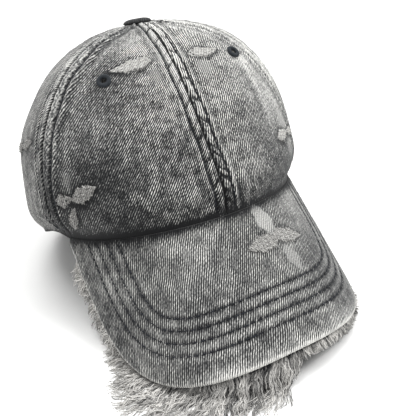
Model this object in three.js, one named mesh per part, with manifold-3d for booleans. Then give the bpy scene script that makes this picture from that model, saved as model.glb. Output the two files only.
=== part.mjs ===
// Denim baseball cap with a curved visor and a frayed visor edge.
// Millimetres, +Z up. The front faces -Y. The cap is built upright in its own frame and then
// tilted back as a whole until its back rim and the visor's fringe meet the floor at z = 0.
import * as THREE from "three";
import { mergeVertices } from "three/addons/utils/BufferGeometryUtils.js";
import Module from "manifold-3d";

// Crown sizes
const RIM_HALF_WIDTH = 81.4;
const RIM_HALF_DEPTH = 93.4;
const CROWN_TOP = 171.6;
const TOP_SHIFT_X = 3.8;
const TOP_SHIFT_Y = -4.4;
const WALL = 1.8;
const PIECE_GAP = 0.3;
const SEAM_BAND_WIDTH = 6.2;
const SEAM_BAND_RISE = 0.7;
const SEAM_BAND_SLOPE = 1.4;
const BAND_WIDTH_LIMIT = 0.2;
const BAND_SLOPE_LIMIT = 0.06;
const TOP_HOLE_RADIUS = 3.2;

// How the crown's section changes round the head
const ROUNDNESS = { front: 1.79, side: 2.5, back: 2.16 };
const SWELL = { front: -0.13, side: 0.07, back: 0.07 };
const RIM_TUCK = { front: 6.4, side: 6.4, back: 1.6 };
const TUCK_HEIGHT = 9;
const DENT_FADE_HEIGHT = 27;
const LEVEL_HEM_HEIGHT = 24;
const LEAST_HEM = 2;

// Angles round the crown in degrees, from the front centre
const LEFT_SEAM_AT = 68;
const RIGHT_SEAM_AT = 60;
const BACK_SEAM_AT = 126;
const TEMPLE_AT = 66;
const VISOR_ROOT_AT = 68;
const RIM_FLAT_FROM = 142;
const BACK_RIM_HEIGHT = 36;
const DROP_ENDS_AT = 76;
const DROP_FADE_SPAN = 20;
const DROP_SPARE = 0.6;

// Visor
const VISOR_FRONT_HEIGHT = 70.2;
const VISOR_PITCH = 47.4;
const VISOR_BEND_RADIUS = 85.2;
const VISOR_LENGTH = 79.1;
const VISOR_HALF_ARC = 94.2;
const VISOR_CORNER_BACK = 3.6;
const VISOR_SQUARENESS = 2.93;
const VISOR_SIDE_BOW = 1.6;
const VISOR_WALL = 3.0;
const VISOR_BLEND = 14;
const VISOR_LEAST_FACING = 0.6;
const VISOR_BEND_LIMIT = 0.985;
const VISOR_END_SHARE = 0.965;
const VISOR_TOE_SHARE = 0.8;
const VISOR_OVER_FLOOR = 2.2;

// Fringe under the visor's edge
const FRINGE_LOCKS = 42;
const FRINGE_SPAN = 0.86;
const FRINGE_HEAD_WIDTH = 6;
const FRINGE_HEAD_WALL = 1.1;
const FRINGE_HEAD_INSET = 1.2;
const FRINGE_CLEARANCE = 0.7;
const LOCK_ROOT_WIDTH = 5.4;
const LOCK_TIP_WIDTH = 2.4;
const LOCK_THICKNESS = 0.9;
const LOCK_FLOOR = 0.05;
const LOCK_SHORT = 8;
const LOCK_LONG = 26;
const LOCK_SWEEP = 50;
const LONG_LOCKS_FROM = -80;
const LONG_LOCKS_TO = 10;
const LONG_LOCKS_FADE = 14;

// How much the locks differ: shares of their length, sweep and width, and degrees of fan and fall
const LOCK_VARIES = { long: 0.5, length: 0.15, sweep: 0.25, width: 0.2, fan: 7, fallLeast: 13, fallMore: 9 };
const LOCK_STEEPEST = 82;

// Trim
const BUTTON_RADIUS = 8.8;
const BUTTON_HEIGHT = 3.3;
const BUTTON_EDGE = 0.8;
const BUTTON_LIFT = 0.45;
const BUTTON_SQUARENESS = 0.7;
const BUTTON_POST_RADIUS = 2.4;
const BUTTON_CLENCH_RADIUS = 5.5;
const BUTTON_CLENCH_WALL = 0.9;
const BUTTON_CLENCH_CLEARANCE = 0.9;
const EYELET_RADIUS = 5;
const EYELET_HOLE_RADIUS = 1.5;
const EYELET_NECK_WALL = 0.9;
const EYELET_FLANGE = 0.9;
const EYELET_OVER = 0.4;
const EYELET_UNDER = 0.9;
const EYELET_CREST_SHARE = 0.84;
const EYELET_LIP_SHARE = 1.2;
const EYELET_LIP_HEIGHT = 0.72;
const BAND_REACH = 24;
const BAND_WALL = 1.2;
const BAND_CLEARANCE = 0.9;
const BAND_LOWER_EDGE = 1.0;
const ARCH_HALF_WIDTH = 33;
const ARCH_HEIGHT = 44;
const STRAP_LOWER_EDGE = 5.6;
const STRAP_HEIGHT = 19;
const STRAP_WALL = 2;
const STRAP_CLEARANCE = 0.7;
const STRAP_TUCKED = 12;
const HEEL_SPAN = 9;
const CLASP_WIDTH = 14;
const CLASP_WALL = 1.3;

// Soft dents in the crown: angle and height shares at the middle, spread, depth
const DENTS = [
  { at: -26, up: 0.2, spreadDeg: 17, spreadUp: 0.16, depth: 2.2 },
  { at: 34, up: 0.3, spreadDeg: 15, spreadUp: 0.2, depth: 1.2 },
  { at: -97, up: 0.34, spreadDeg: 20, spreadUp: 0.22, depth: 2.6 },
  { at: -98, up: 0.74, spreadDeg: 26, spreadUp: 0.2, depth: 3.6 },
  { at: 104, up: 0.4, spreadDeg: 18, spreadUp: 0.2, depth: 2.4 },
  { at: 150, up: 0.66, spreadDeg: 16, spreadUp: 0.14, depth: 2.4 },
  { at: -146, up: 0.56, spreadDeg: 18, spreadUp: 0.16, depth: 2.0 },
];

// Where the eyelets are, by angle and by the share of the wall's arc up to the button
const EYELETS = [
  { name: "eyelet_front_left", panel: "panel_front_left", at: -44.9, up: 49.2 },
  { name: "eyelet_front_right", panel: "panel_front_right", at: 44.9, up: 49.2 },
  { name: "eyelet_back_left", panel: "panel_back_left", at: -152, up: 52 },
  { name: "eyelet_back_right", panel: "panel_back_right", at: 152, up: 52 },
];

const PANELS = [
  { name: "panel_front_left", from: -LEFT_SEAM_AT, to: 0 },
  { name: "panel_front_right", from: 0, to: RIGHT_SEAM_AT },
  { name: "panel_side_left", from: -BACK_SEAM_AT, to: -LEFT_SEAM_AT },
  { name: "panel_side_right", from: RIGHT_SEAM_AT, to: BACK_SEAM_AT },
  { name: "panel_back_left", from: -180, to: -BACK_SEAM_AT },
  { name: "panel_back_right", from: BACK_SEAM_AT, to: 180 },
];

// Mesh density
const PANEL_COLUMNS = 10;
const ROWS_OVER_SEAM = [0, 3.5, 8, 15, BAND_REACH];
const HIGH_ROWS = 9;
const VISOR_COLUMNS = 30;
const VISOR_ROWS = 7;
const BAND_COLUMNS = 48;
const ROUND_STEPS = 18;
const EYELET_STEPS = 12;
const LOCK_STEPS = 4;
const HEAD_COLUMNS = 42;
const EDGE_SIDE_STEPS = 24;
const EDGE_FRONT_STEPS = 120;
const ARCH_STEPS = 14;
const DOME_STEPS = 6;
const STRAP_COLUMNS = 22;
const STRAP_ROWS = 3;
const CLASP_STEPS = 4;

const rad = THREE.MathUtils.degToRad;
const deg = THREE.MathUtils.radToDeg;
const clamp = THREE.MathUtils.clamp;
const lerp = THREE.MathUtils.lerp;
const smooth = (x) => x * x * (3 - 2 * x);

const wasm = await Module();
wasm.setup();

function toSolid(geometry) {
  const bare = geometry.clone();
  bare.deleteAttribute("normal");
  bare.deleteAttribute("uv");
  const merged = mergeVertices(bare, 1e-4);
  return new wasm.Manifold(
    new wasm.Mesh({
      numProp: 3,
      vertProperties: new Float32Array(merged.attributes.position.array),
      triVerts: new Uint32Array(merged.index.array),
    }),
  );
}

function toGeometry(solid) {
  const mesh = solid.getMesh();
  const geometry = new THREE.BufferGeometry();
  geometry.setAttribute("position", new THREE.BufferAttribute(new Float32Array(mesh.vertProperties), 3));
  geometry.setIndex(new THREE.BufferAttribute(new Uint32Array(mesh.triVerts), 1));
  geometry.computeVertexNormals();
  return geometry;
}

function signedVolume(geometry) {
  const p = geometry.attributes.position;
  const index = geometry.index;
  const a = new THREE.Vector3();
  const b = new THREE.Vector3();
  const c = new THREE.Vector3();
  let sum = 0;
  for (let i = 0; i < index.count; i += 3) {
    a.fromBufferAttribute(p, index.getX(i));
    b.fromBufferAttribute(p, index.getX(i + 1));
    c.fromBufferAttribute(p, index.getX(i + 2));
    sum += a.dot(b.cross(c));
  }
  return sum / 6;
}

// A closed sheet: a box divided into columns and rows whose corners are moved by place(i, j, side).
// Side is 0 on the inner face and 1 on the outer face.
function sheet(columns, rows, place) {
  const geometry = new THREE.BoxGeometry(1, 1, 1, columns, rows, 1);
  const p = geometry.attributes.position;
  for (let k = 0; k < p.count; k += 1) {
    const i = Math.round((p.getX(k) + 0.5) * columns);
    const j = Math.round((p.getY(k) + 0.5) * rows);
    const spot = place(i, j, p.getZ(k) > 0 ? 1 : 0);
    p.setXYZ(k, spot.x, spot.y, spot.z);
  }
  if (signedVolume(geometry) < 0) {
    const index = geometry.index.array;
    for (let k = 0; k < index.length; k += 3) {
      const first = index[k];
      index[k] = index[k + 1];
      index[k + 1] = first;
    }
  }
  geometry.computeVertexNormals();
  return geometry;
}

// A value that changes round the head from front to side to back
function round(values, angle) {
  const facing = Math.cos(angle);
  const front = Math.max(facing, 0) ** 2;
  const back = Math.max(-facing, 0) ** 2;
  return values.front * front + values.back * back + values.side * (1 - front - back);
}

// Visor sheet: p runs across along the bend, q runs forward from the front rim
function visorPoint(p, q) {
  const bend = p / VISOR_BEND_RADIUS;
  const fall = VISOR_BEND_RADIUS * (1 - Math.cos(bend));
  const pitch = rad(VISOR_PITCH);
  return new THREE.Vector3(
    VISOR_BEND_RADIUS * Math.sin(bend),
    -RIM_HALF_DEPTH - q * Math.cos(pitch) + fall * Math.sin(pitch),
    VISOR_FRONT_HEIGHT - q * Math.sin(pitch) - fall * Math.cos(pitch),
  );
}

function visorNormal(p) {
  const bend = p / VISOR_BEND_RADIUS;
  const pitch = rad(VISOR_PITCH);
  return new THREE.Vector3(
    Math.sin(bend),
    -Math.cos(bend) * Math.sin(pitch),
    Math.cos(bend) * Math.cos(pitch),
  );
}

// Sheet place of a point of the plan oval that lies a clearance outside the crown's rim
function onVisor(x, y) {
  const bend = Math.asin(clamp(x / VISOR_BEND_RADIUS, -VISOR_BEND_LIMIT, VISOR_BEND_LIMIT));
  const fall = VISOR_BEND_RADIUS * (1 - Math.cos(bend));
  const pitch = rad(VISOR_PITCH);
  return {
    p: VISOR_BEND_RADIUS * bend,
    q: (-RIM_HALF_DEPTH - y + fall * Math.sin(pitch)) / Math.cos(pitch),
  };
}

function rimOval(angle, outset) {
  return {
    x: (RIM_HALF_WIDTH + outset) * Math.sin(angle),
    y: -(RIM_HALF_DEPTH + outset) * Math.cos(angle),
  };
}

function visorHeightAt(angle) {
  const rim = rimOval(angle, 0);
  const spot = onVisor(rim.x, rim.y);
  return visorPoint(spot.p, spot.q).z;
}

// Height of the seam line round the crown: on the visor at the front, then a smooth fall to the back
const templeHeight = visorHeightAt(rad(TEMPLE_AT));
const templeSlope = (templeHeight - visorHeightAt(rad(TEMPLE_AT - 1))) / rad(1);
function seamLine(angle) {
  const turn = Math.abs(angle);
  const temple = rad(TEMPLE_AT);
  if (turn <= temple) return visorHeightAt(turn);
  const span = rad(RIM_FLAT_FROM) - temple;
  const t = clamp((turn - temple) / span, 0, 1);
  const keep = 2 * t ** 3 - 3 * t ** 2 + 1;
  const lean = t ** 3 - 2 * t ** 2 + t;
  return keep * templeHeight + lean * span * templeSlope + (1 - keep) * BACK_RIM_HEIGHT;
}

// Behind the visor's inner edge the wall runs on below the seam line
const seamDrop = VISOR_WALL / Math.cos(rad(VISOR_PITCH)) + DROP_SPARE;
function dropAt(angle) {
  const t = clamp((rad(DROP_ENDS_AT) - Math.abs(angle)) / rad(DROP_FADE_SPAN), 0, 1);
  return seamDrop * smooth(t);
}

// Point of the crown's outer face by angle and height above its lower edge
function crownBase(angle, height) {
  const line = seamLine(angle);
  const drop = dropAt(angle);
  const above = Math.max(height - drop, 0);
  const tall = CROWN_TOP - line;
  const power = round(ROUNDNESS, angle);
  const up = clamp(above / tall, 0, 1);
  const inward = (1 - up ** power) ** (1 / power);
  const swell = 1 + round(SWELL, angle) * 2 * (up * inward) ** (power / 2);
  const plan = Math.hypot(RIM_HALF_WIDTH * Math.sin(angle), RIM_HALF_DEPTH * Math.cos(angle));
  const tuck = round(RIM_TUCK, angle) * (1 - Math.exp(-((above / TUCK_HEIGHT) ** 2)));
  const share = inward * (swell + tuck / plan);
  return new THREE.Vector3(
    RIM_HALF_WIDTH * Math.sin(angle) * share + TOP_SHIFT_X * up ** 2,
    -RIM_HALF_DEPTH * Math.cos(angle) * share + TOP_SHIFT_Y * up ** 2,
    line - drop + height,
  );
}

function crownTall(angle) {
  return CROWN_TOP - seamLine(angle) + dropAt(angle);
}

// Height of a place given by the arc angle between rim (0) and top (90)
function heightAtArc(angle, arcDeg) {
  const power = round(ROUNDNESS, angle);
  return dropAt(angle) + (CROWN_TOP - seamLine(angle)) * Math.sin(rad(arcDeg)) ** (2 / power);
}

function arcOfHeight(angle, height) {
  const power = round(ROUNDNESS, angle);
  const up = clamp((height - dropAt(angle)) / (CROWN_TOP - seamLine(angle)), 0, 1);
  return deg(Math.asin(up ** (power / 2)));
}

// Outward direction of the crown, level at the lower edge so that the hem is cut flat
function crownNormal(angle, height) {
  const step = 0.004;
  const arcStep = 0.25;
  const arc = arcOfHeight(angle, height);
  const spot = (turn, level) => crownBase(turn, heightAtArc(turn, level));
  const along = spot(angle + step, arc).sub(spot(angle - step, arc));
  const upward = spot(angle, Math.min(arc + arcStep, 90)).sub(spot(angle, Math.max(arc - arcStep, 0)));
  const normal = along.cross(upward).normalize();
  normal.z *= smooth(clamp(height / LEVEL_HEM_HEIGHT, 0, 1));
  return normal.normalize();
}

function dentAt(angle, height) {
  const up = height / crownTall(angle);
  let depth = 0;
  for (const dent of DENTS) {
    let turn = deg(angle) - dent.at;
    if (turn > 180) turn -= 360;
    if (turn < -180) turn += 360;
    depth += dent.depth * Math.exp(-((turn / dent.spreadDeg) ** 2) - ((up - dent.up) / dent.spreadUp) ** 2);
  }
  const above = Math.max(height - dropAt(angle), 0);
  return depth * (1 - Math.exp(-((above / DENT_FADE_HEIGHT) ** 2)));
}

// Point at a depth under the crown's outer face
function crownSkin(angle, height, depth) {
  const normal = crownNormal(angle, height);
  return crownBase(angle, height).addScaledVector(normal, -depth - dentAt(angle, height));
}

// Millimetres along the crown for each radian round it
function metric(angle, height) {
  const step = 0.01;
  const arc = arcOfHeight(angle, height);
  const spot = (turn) => crownBase(turn, heightAtArc(turn, arc));
  return spot(angle + step).distanceTo(spot(angle - step)) / (2 * step);
}

// Rows of a panel: the lower edge, the seam line, a few close rows over it, then even ones to the top
const panelRows = ROWS_OVER_SEAM.length + HIGH_ROWS;
function rowHeight(angle, row) {
  const hem = Math.max(dropAt(angle), LEAST_HEM);
  if (row === 0) return 0;
  if (row <= ROWS_OVER_SEAM.length) return hem + ROWS_OVER_SEAM[row - 1];
  const last = ROWS_OVER_SEAM.length;
  const start = arcOfHeight(angle, hem + ROWS_OVER_SEAM[last - 1]);
  const power = round(ROUNDNESS, angle);
  const plan = Math.hypot(RIM_HALF_WIDTH * Math.sin(angle), RIM_HALF_DEPTH * Math.cos(angle));
  const hole = TOP_HOLE_RADIUS / (plan + round(RIM_TUCK, angle));
  const end = deg(Math.acos(hole ** (power / 2)));
  return heightAtArc(angle, lerp(start, end, (row - last) / HIGH_ROWS));
}

// One crown panel between two seams, with a raised band of folded cloth along each seam
function panel(fromDeg, toDeg) {
  const a = rad(fromDeg);
  const b = rad(toDeg);
  const middle = (a + b) / 2;
  return sheet(PANEL_COLUMNS, panelRows, (i, j, side) => {
    const rowHigh = rowHeight(middle, j);
    const first = a + PIECE_GAP / 2 / metric(a, rowHeight(a, j));
    const last = b - PIECE_GAP / 2 / metric(b, rowHeight(b, j));
    const width = (last - first) * metric(middle, rowHigh);
    const band = Math.min(SEAM_BAND_WIDTH, width * BAND_WIDTH_LIMIT);
    const slope = Math.min(SEAM_BAND_SLOPE, width * BAND_SLOPE_LIMIT);
    const inner = band + slope;
    const edge = Math.min(i, PANEL_COLUMNS - i);
    const even = inner + ((width - 2 * inner) * (edge - 2)) / (PANEL_COLUMNS - 4);
    const near = edge === 0 ? 0 : edge === 1 ? band : even;
    const along = i <= PANEL_COLUMNS / 2 ? near : width - near;
    const angle = lerp(first, last, along / width);
    const height = rowHeight(angle, j);
    const above = Math.max(height - dropAt(angle), 0);
    const raised = edge < 2 ? SEAM_BAND_RISE * (band / SEAM_BAND_WIDTH) : 0;
    const rise = raised * (1 - Math.exp(-((above / TUCK_HEIGHT) ** 2)));
    return crownSkin(angle, height, side ? -rise : WALL);
  });
}

// A block that follows the crown's wall over a span of angles and heights, between two depths
function wallBlock(span, outerDepth, innerDepth, columns, rows) {
  return sheet(columns, rows, (i, j, side) => {
    const angle = rad(lerp(span.from, span.to, i / columns));
    const height = lerp(span.low, span.high, j / rows);
    return crownSkin(angle, height, side ? outerDepth : innerDepth);
  });
}

// Outline of the visor in its own flat sheet, from one temple round to the other
function edgeTrack() {
  const track = [];
  const temple = rimOval(rad(VISOR_ROOT_AT), PIECE_GAP);
  const root = onVisor(temple.x, temple.y);
  const crossways = (t) => lerp(VISOR_HALF_ARC, root.p, t ** VISOR_SIDE_BOW);
  const lengthways = (t) => lerp(-VISOR_CORNER_BACK, root.q, t);
  for (let k = 0; k < EDGE_SIDE_STEPS; k += 1) {
    const t = 1 - k / EDGE_SIDE_STEPS;
    track.push(new THREE.Vector2(-crossways(t), lengthways(t)));
  }
  for (let k = 0; k <= EDGE_FRONT_STEPS; k += 1) {
    const turn = lerp(-Math.PI / 2, Math.PI / 2, k / EDGE_FRONT_STEPS);
    const wide = Math.abs(Math.sin(turn)) ** (2 / VISOR_SQUARENESS);
    const long = Math.abs(Math.cos(turn)) ** (2 / VISOR_SQUARENESS);
    const reach = VISOR_LENGTH + VISOR_CORNER_BACK;
    track.push(new THREE.Vector2(VISOR_HALF_ARC * Math.sign(turn) * wide, -VISOR_CORNER_BACK + reach * long));
  }
  for (let k = 1; k <= EDGE_SIDE_STEPS; k += 1) {
    const t = k / EDGE_SIDE_STEPS;
    track.push(new THREE.Vector2(crossways(t), lengthways(t)));
  }
  return track;
}

const track = edgeTrack();
const trackLengths = [0];
for (let k = 1; k < track.length; k += 1) {
  trackLengths.push(trackLengths[k - 1] + track[k].distanceTo(track[k - 1]));
}
const trackTotal = trackLengths[trackLengths.length - 1];

// Point of the visor's outline at u between -1 and 1, with the outward direction in the sheet
function edgeAt(u) {
  const want = ((u + 1) / 2) * trackTotal;
  let k = 1;
  while (k < track.length - 1 && trackLengths[k] < want) k += 1;
  const t = clamp((want - trackLengths[k - 1]) / (trackLengths[k] - trackLengths[k - 1]), 0, 1);
  const spot = track[k - 1].clone().lerp(track[k], t);
  const before = track[Math.max(k - 3, 0)];
  const after = track[Math.min(k + 2, track.length - 1)];
  const along = after.clone().sub(before).normalize();
  return { spot, out: new THREE.Vector2(-along.y, along.x) };
}

// Under face of the visor: straight down at the rim, along the sheet's normal further out
function visorUnder(p, q, fromRim, depth) {
  const normal = visorNormal(p);
  const mix = smooth(clamp(fromRim / VISOR_BLEND, 0, 1));
  const way = new THREE.Vector3(0, 0, 1).lerp(normal, mix).normalize();
  return visorPoint(p, q).addScaledVector(way, -depth / Math.max(way.dot(normal), VISOR_LEAST_FACING));
}

function visor() {
  return sheet(VISOR_COLUMNS, VISOR_ROWS, (i, j, side) => {
    const u = lerp(-VISOR_END_SHARE, VISOR_END_SHARE, i / VISOR_COLUMNS);
    const rim = rimOval(rad(VISOR_ROOT_AT) * u, PIECE_GAP);
    const root = onVisor(rim.x, rim.y);
    const edge = edgeAt(u).spot;
    const v = j / VISOR_ROWS;
    const p = lerp(root.p, edge.x, v);
    const q = lerp(root.q, edge.y, v);
    if (side) return visorPoint(p, q);
    return visorUnder(p, q, Math.hypot(p - root.p, q - root.q), VISOR_WALL);
  });
}

// Repeatable variation between 0 and 1
function vary(index, channel) {
  const wave = Math.sin(index * 12.9898 + channel * 78.233) * 43758.5453;
  return wave - Math.floor(wave);
}

// Place under the visor near its edge: inset is measured inward from the outline
function underEdge(u, inset, depth) {
  const edge = edgeAt(u);
  const spot = edge.spot.clone().addScaledVector(edge.out, -inset);
  const rim = rimOval(rad(VISOR_ROOT_AT) * u, PIECE_GAP);
  const root = onVisor(rim.x, rim.y);
  return visorUnder(spot.x, spot.y, Math.hypot(spot.x - root.p, spot.y - root.q), depth);
}

// Half angle that the back arch takes of the rim
const archAngle = deg(Math.asin(clamp(ARCH_HALF_WIDTH / RIM_HALF_WIDTH, 0, 0.9)));

// How far the cap tips back to rest, found from its back rim and the lowest part of the visor's edge
function restMatrix() {
  const heelAt = rimOval(rad(180 - archAngle - HEEL_SPAN), 0);
  const heel = new THREE.Vector3(0, heelAt.y, BACK_RIM_HEIGHT);
  const toe = [];
  const looks = 60;
  for (let k = 0; k <= looks; k += 1) {
    toe.push(underEdge(lerp(-VISOR_TOE_SHARE, VISOR_TOE_SHARE, k / looks), 0, VISOR_WALL));
  }
  const turnOf = (tilt) => new THREE.Matrix4().makeRotationX(-tilt);
  const lift = (tilt) => {
    const turn = turnOf(tilt);
    const floor = heel.clone().applyMatrix4(turn).z;
    return Math.min(...toe.map((spot) => spot.clone().applyMatrix4(turn).z)) - floor - VISOR_OVER_FLOOR;
  };
  let low = rad(-20);
  let high = rad(40);
  const halvings = 40;
  for (let k = 0; k < halvings; k += 1) {
    const middle = (low + high) / 2;
    if (lift(middle) < 0) low = middle;
    else high = middle;
  }
  const turn = turnOf((low + high) / 2);
  const floor = heel.clone().applyMatrix4(turn).z;
  return new THREE.Matrix4().makeTranslation(0, 0, -floor).multiply(turn);
}

const rest = restMatrix();
const unrest = rest.clone().invert();

function fringeHead() {
  const columns = HEAD_COLUMNS;
  const top = VISOR_WALL + FRINGE_CLEARANCE;
  return sheet(columns, 1, (i, j, side) => {
    const u = lerp(-FRINGE_SPAN, FRINGE_SPAN, i / columns);
    const inset = FRINGE_HEAD_INSET + (1 - j) * FRINGE_HEAD_WIDTH;
    return underEdge(u, inset, side ? top : top + FRINGE_HEAD_WALL);
  });
}

// How far the fringe is long at a place of the edge: 1 along the front, 0 at the right corner and the sides
function longShare(p) {
  const left = smooth(clamp((p - LONG_LOCKS_FROM) / LONG_LOCKS_FADE, 0, 1));
  const right = smooth(clamp((LONG_LOCKS_TO - p) / LONG_LOCKS_FADE, 0, 1));
  return left * right;
}

// One lock of frayed threads: leaves the head along the visor, then droops until it meets the floor
function fringeLock(index) {
  const reach = FRINGE_SPAN - FRINGE_SPAN / FRINGE_LOCKS;
  const u = lerp(-reach, reach, index / (FRINGE_LOCKS - 1));
  const edge = edgeAt(u).spot;
  const long = longShare(edge.x);
  const varied = (channel, share) => 1 + share * (2 * vary(index, channel) - 1);
  const ownLong = 1 - LOCK_VARIES.long * vary(index, 1);
  const length = lerp(LOCK_SHORT, LOCK_LONG, long * ownLong) * varied(2, LOCK_VARIES.length);
  const depth = VISOR_WALL + FRINGE_CLEARANCE + FRINGE_HEAD_WALL / 2;
  const start = underEdge(u, FRINGE_HEAD_INSET + FRINGE_HEAD_WIDTH / 2, depth).applyMatrix4(rest);
  const lip = underEdge(u, FRINGE_HEAD_INSET, depth).applyMatrix4(rest);
  const outward = lip.clone().sub(start).normalize();
  const ahead = new THREE.Vector3(outward.x, outward.y, 0).normalize();
  const sweep = rad(LOCK_SWEEP * long * varied(3, LOCK_VARIES.sweep) + LOCK_VARIES.fan * (varied(4, 1) - 1));
  const path = [start, lip];
  const floor = LOCK_THICKNESS / 2 + LOCK_FLOOR;
  let fall = Math.asin(clamp(-outward.z, -1, 1));
  const stride = length / (LOCK_STEPS - 1);
  for (let k = 1; k < LOCK_STEPS; k += 1) {
    const drop = LOCK_VARIES.fallLeast + LOCK_VARIES.fallMore * vary(index, 5);
    fall = Math.min(fall + rad(drop), rad(LOCK_STEEPEST));
    const heading = ahead.clone().applyAxisAngle(new THREE.Vector3(0, 0, 1), -(sweep * k) / (LOCK_STEPS - 1));
    const next = path[path.length - 1].clone().addScaledVector(heading, stride * Math.cos(fall));
    next.z -= stride * Math.sin(fall);
    if (next.z < floor) {
      next.addScaledVector(heading, Math.min(floor - next.z, stride * 0.5));
      next.z = floor;
    }
    path.push(next);
  }
  const sheetUp = visorNormal(edge.x).transformDirection(rest);
  return sheet(LOCK_STEPS, 1, (i, j, side) => {
    const ahead = path[Math.min(i + 1, LOCK_STEPS)];
    const behind = path[Math.max(i - 1, 0)];
    const along = ahead.clone().sub(behind).normalize();
    const level = new THREE.Vector3(-along.y, along.x, 0).normalize();
    const tilted = sheetUp.clone().cross(along).normalize();
    const across = tilted.lerp(level, clamp((i - 1) / (LOCK_STEPS - 1), 0, 1)).normalize();
    const up = along.clone().cross(across).normalize();
    if (up.z < 0) up.negate();
    const t = i / LOCK_STEPS;
    const wide = lerp(LOCK_ROOT_WIDTH, LOCK_TIP_WIDTH, t) * varied(6, LOCK_VARIES.width);
    const thick = LOCK_THICKNESS;
    const spot = path[i].clone().addScaledVector(across, (j - 0.5) * wide);
    spot.addScaledVector(up, (side - 0.5) * thick);
    spot.z = Math.max(spot.z, LOCK_FLOOR + side * thick * 0.5);
    return spot;
  });
}

function fringe() {
  let solid = toSolid(fringeHead().applyMatrix4(rest));
  for (let index = 0; index < FRINGE_LOCKS; index += 1) {
    solid = solid.add(toSolid(fringeLock(index)));
  }
  return toGeometry(solid).applyMatrix4(unrest);
}

// A turned piece stood on a point with its axis along a direction
function turned(profile, steps, centre, axis) {
  const points = profile.map(([radius, along]) => new THREE.Vector2(radius, along));
  let geometry = new THREE.LatheGeometry(points, steps);
  geometry.deleteAttribute("normal");
  geometry.deleteAttribute("uv");
  geometry = mergeVertices(geometry, 1e-4);
  const kept = [];
  const old = geometry.index.array;
  for (let k = 0; k < old.length; k += 3) {
    const [a, b, c] = [old[k], old[k + 1], old[k + 2]];
    if (a !== b && b !== c && c !== a) kept.push(a, b, c);
  }
  geometry.setIndex(kept);
  if (signedVolume(geometry) < 0) {
    const flipped = [];
    for (let k = 0; k < kept.length; k += 3) flipped.push(kept[k + 1], kept[k], kept[k + 2]);
    geometry.setIndex(flipped);
  }
  geometry.applyQuaternion(new THREE.Quaternion().setFromUnitVectors(new THREE.Vector3(0, 1, 0), axis));
  geometry.translate(centre.x, centre.y, centre.z);
  geometry.computeVertexNormals();
  return geometry;
}

const topCentre = new THREE.Vector3(TOP_SHIFT_X, TOP_SHIFT_Y, CROWN_TOP);
const upright = new THREE.Vector3(0, 0, 1);

function topButton() {
  const dome = [];
  for (let k = 0; k <= DOME_STEPS; k += 1) {
    const turn = (k / DOME_STEPS) * (Math.PI / 2);
    const wide = BUTTON_RADIUS * Math.cos(turn) ** BUTTON_SQUARENESS;
    dome.push([wide, BUTTON_LIFT + BUTTON_EDGE + (BUTTON_HEIGHT - BUTTON_EDGE) * Math.sin(turn)]);
  }
  dome[DOME_STEPS][0] = 0;
  const clenchTop = -WALL - BUTTON_CLENCH_CLEARANCE;
  const profile = [
    [0, clenchTop - BUTTON_CLENCH_WALL],
    [BUTTON_CLENCH_RADIUS, clenchTop - BUTTON_CLENCH_WALL],
    [BUTTON_CLENCH_RADIUS, clenchTop],
    [BUTTON_POST_RADIUS, clenchTop],
    [BUTTON_POST_RADIUS, BUTTON_LIFT],
    [BUTTON_RADIUS - BUTTON_EDGE, BUTTON_LIFT],
    ...dome,
  ];
  return turned(profile, ROUND_STEPS, topCentre, upright);
}

function eyeletPlace(eyelet) {
  const angle = rad(eyelet.at);
  const height = heightAtArc(angle, eyelet.up);
  const step = 0.03;
  const lift = 3;
  const along = crownSkin(angle + step, height, 0).sub(crownSkin(angle - step, height, 0));
  const upward = crownSkin(angle, height + lift, 0).sub(crownSkin(angle, height - lift, 0));
  return { centre: crownSkin(angle, height, 0), axis: along.cross(upward).normalize() };
}

const eyeletNeck = EYELET_HOLE_RADIUS + EYELET_NECK_WALL;
function eyeletRing(eyelet) {
  const { centre, axis } = eyeletPlace(eyelet);
  const outer = EYELET_OVER;
  const inner = -WALL - EYELET_UNDER;
  const profile = [
    [EYELET_HOLE_RADIUS, inner - EYELET_FLANGE],
    [EYELET_RADIUS, inner - EYELET_FLANGE / 2],
    [EYELET_RADIUS, inner],
    [eyeletNeck, inner],
    [eyeletNeck, outer],
    [EYELET_RADIUS, outer],
    [EYELET_RADIUS * EYELET_CREST_SHARE, outer + EYELET_FLANGE],
    [EYELET_HOLE_RADIUS * EYELET_LIP_SHARE, outer + EYELET_LIP_HEIGHT],
    [EYELET_HOLE_RADIUS, inner - EYELET_FLANGE],
  ];
  return turned(profile, EYELET_STEPS, centre, axis);
}

function eyeletBore(eyelet) {
  const { centre, axis } = eyeletPlace(eyelet);
  const radius = eyeletNeck + PIECE_GAP;
  const reach = WALL * 3;
  const profile = [
    [0, -reach],
    [radius, -reach],
    [radius, reach],
    [0, reach],
  ];
  return turned(profile, EYELET_STEPS, centre, axis);
}

// Prism through the back of the crown with a round-topped arch
function archCut() {
  const shape = new THREE.Shape();
  const straight = BACK_RIM_HEIGHT + ARCH_HEIGHT - ARCH_HALF_WIDTH;
  const below = BACK_RIM_HEIGHT - ARCH_HALF_WIDTH;
  shape.moveTo(-ARCH_HALF_WIDTH, below);
  shape.lineTo(ARCH_HALF_WIDTH, below);
  shape.lineTo(ARCH_HALF_WIDTH, straight);
  shape.absarc(0, straight, ARCH_HALF_WIDTH, 0, Math.PI, false);
  shape.lineTo(-ARCH_HALF_WIDTH, below);
  const cut = new THREE.ExtrudeGeometry(shape, {
    depth: RIM_HALF_DEPTH * 2,
    bevelEnabled: false,
    curveSegments: ARCH_STEPS,
  });
  cut.rotateX(Math.PI / 2);
  cut.translate(0, RIM_HALF_DEPTH * 2, 0);
  return cut;
}

// Block under the floor, which trims the back hem flat
function floorCut() {
  const size = RIM_HALF_DEPTH * 4;
  return new THREE.BoxGeometry(size, size, size).translate(0, 0, -size / 2).applyMatrix4(unrest);
}

const tuckedAngle = deg(STRAP_TUCKED / RIM_HALF_DEPTH);
const strapOuter = WALL + STRAP_CLEARANCE;

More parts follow.
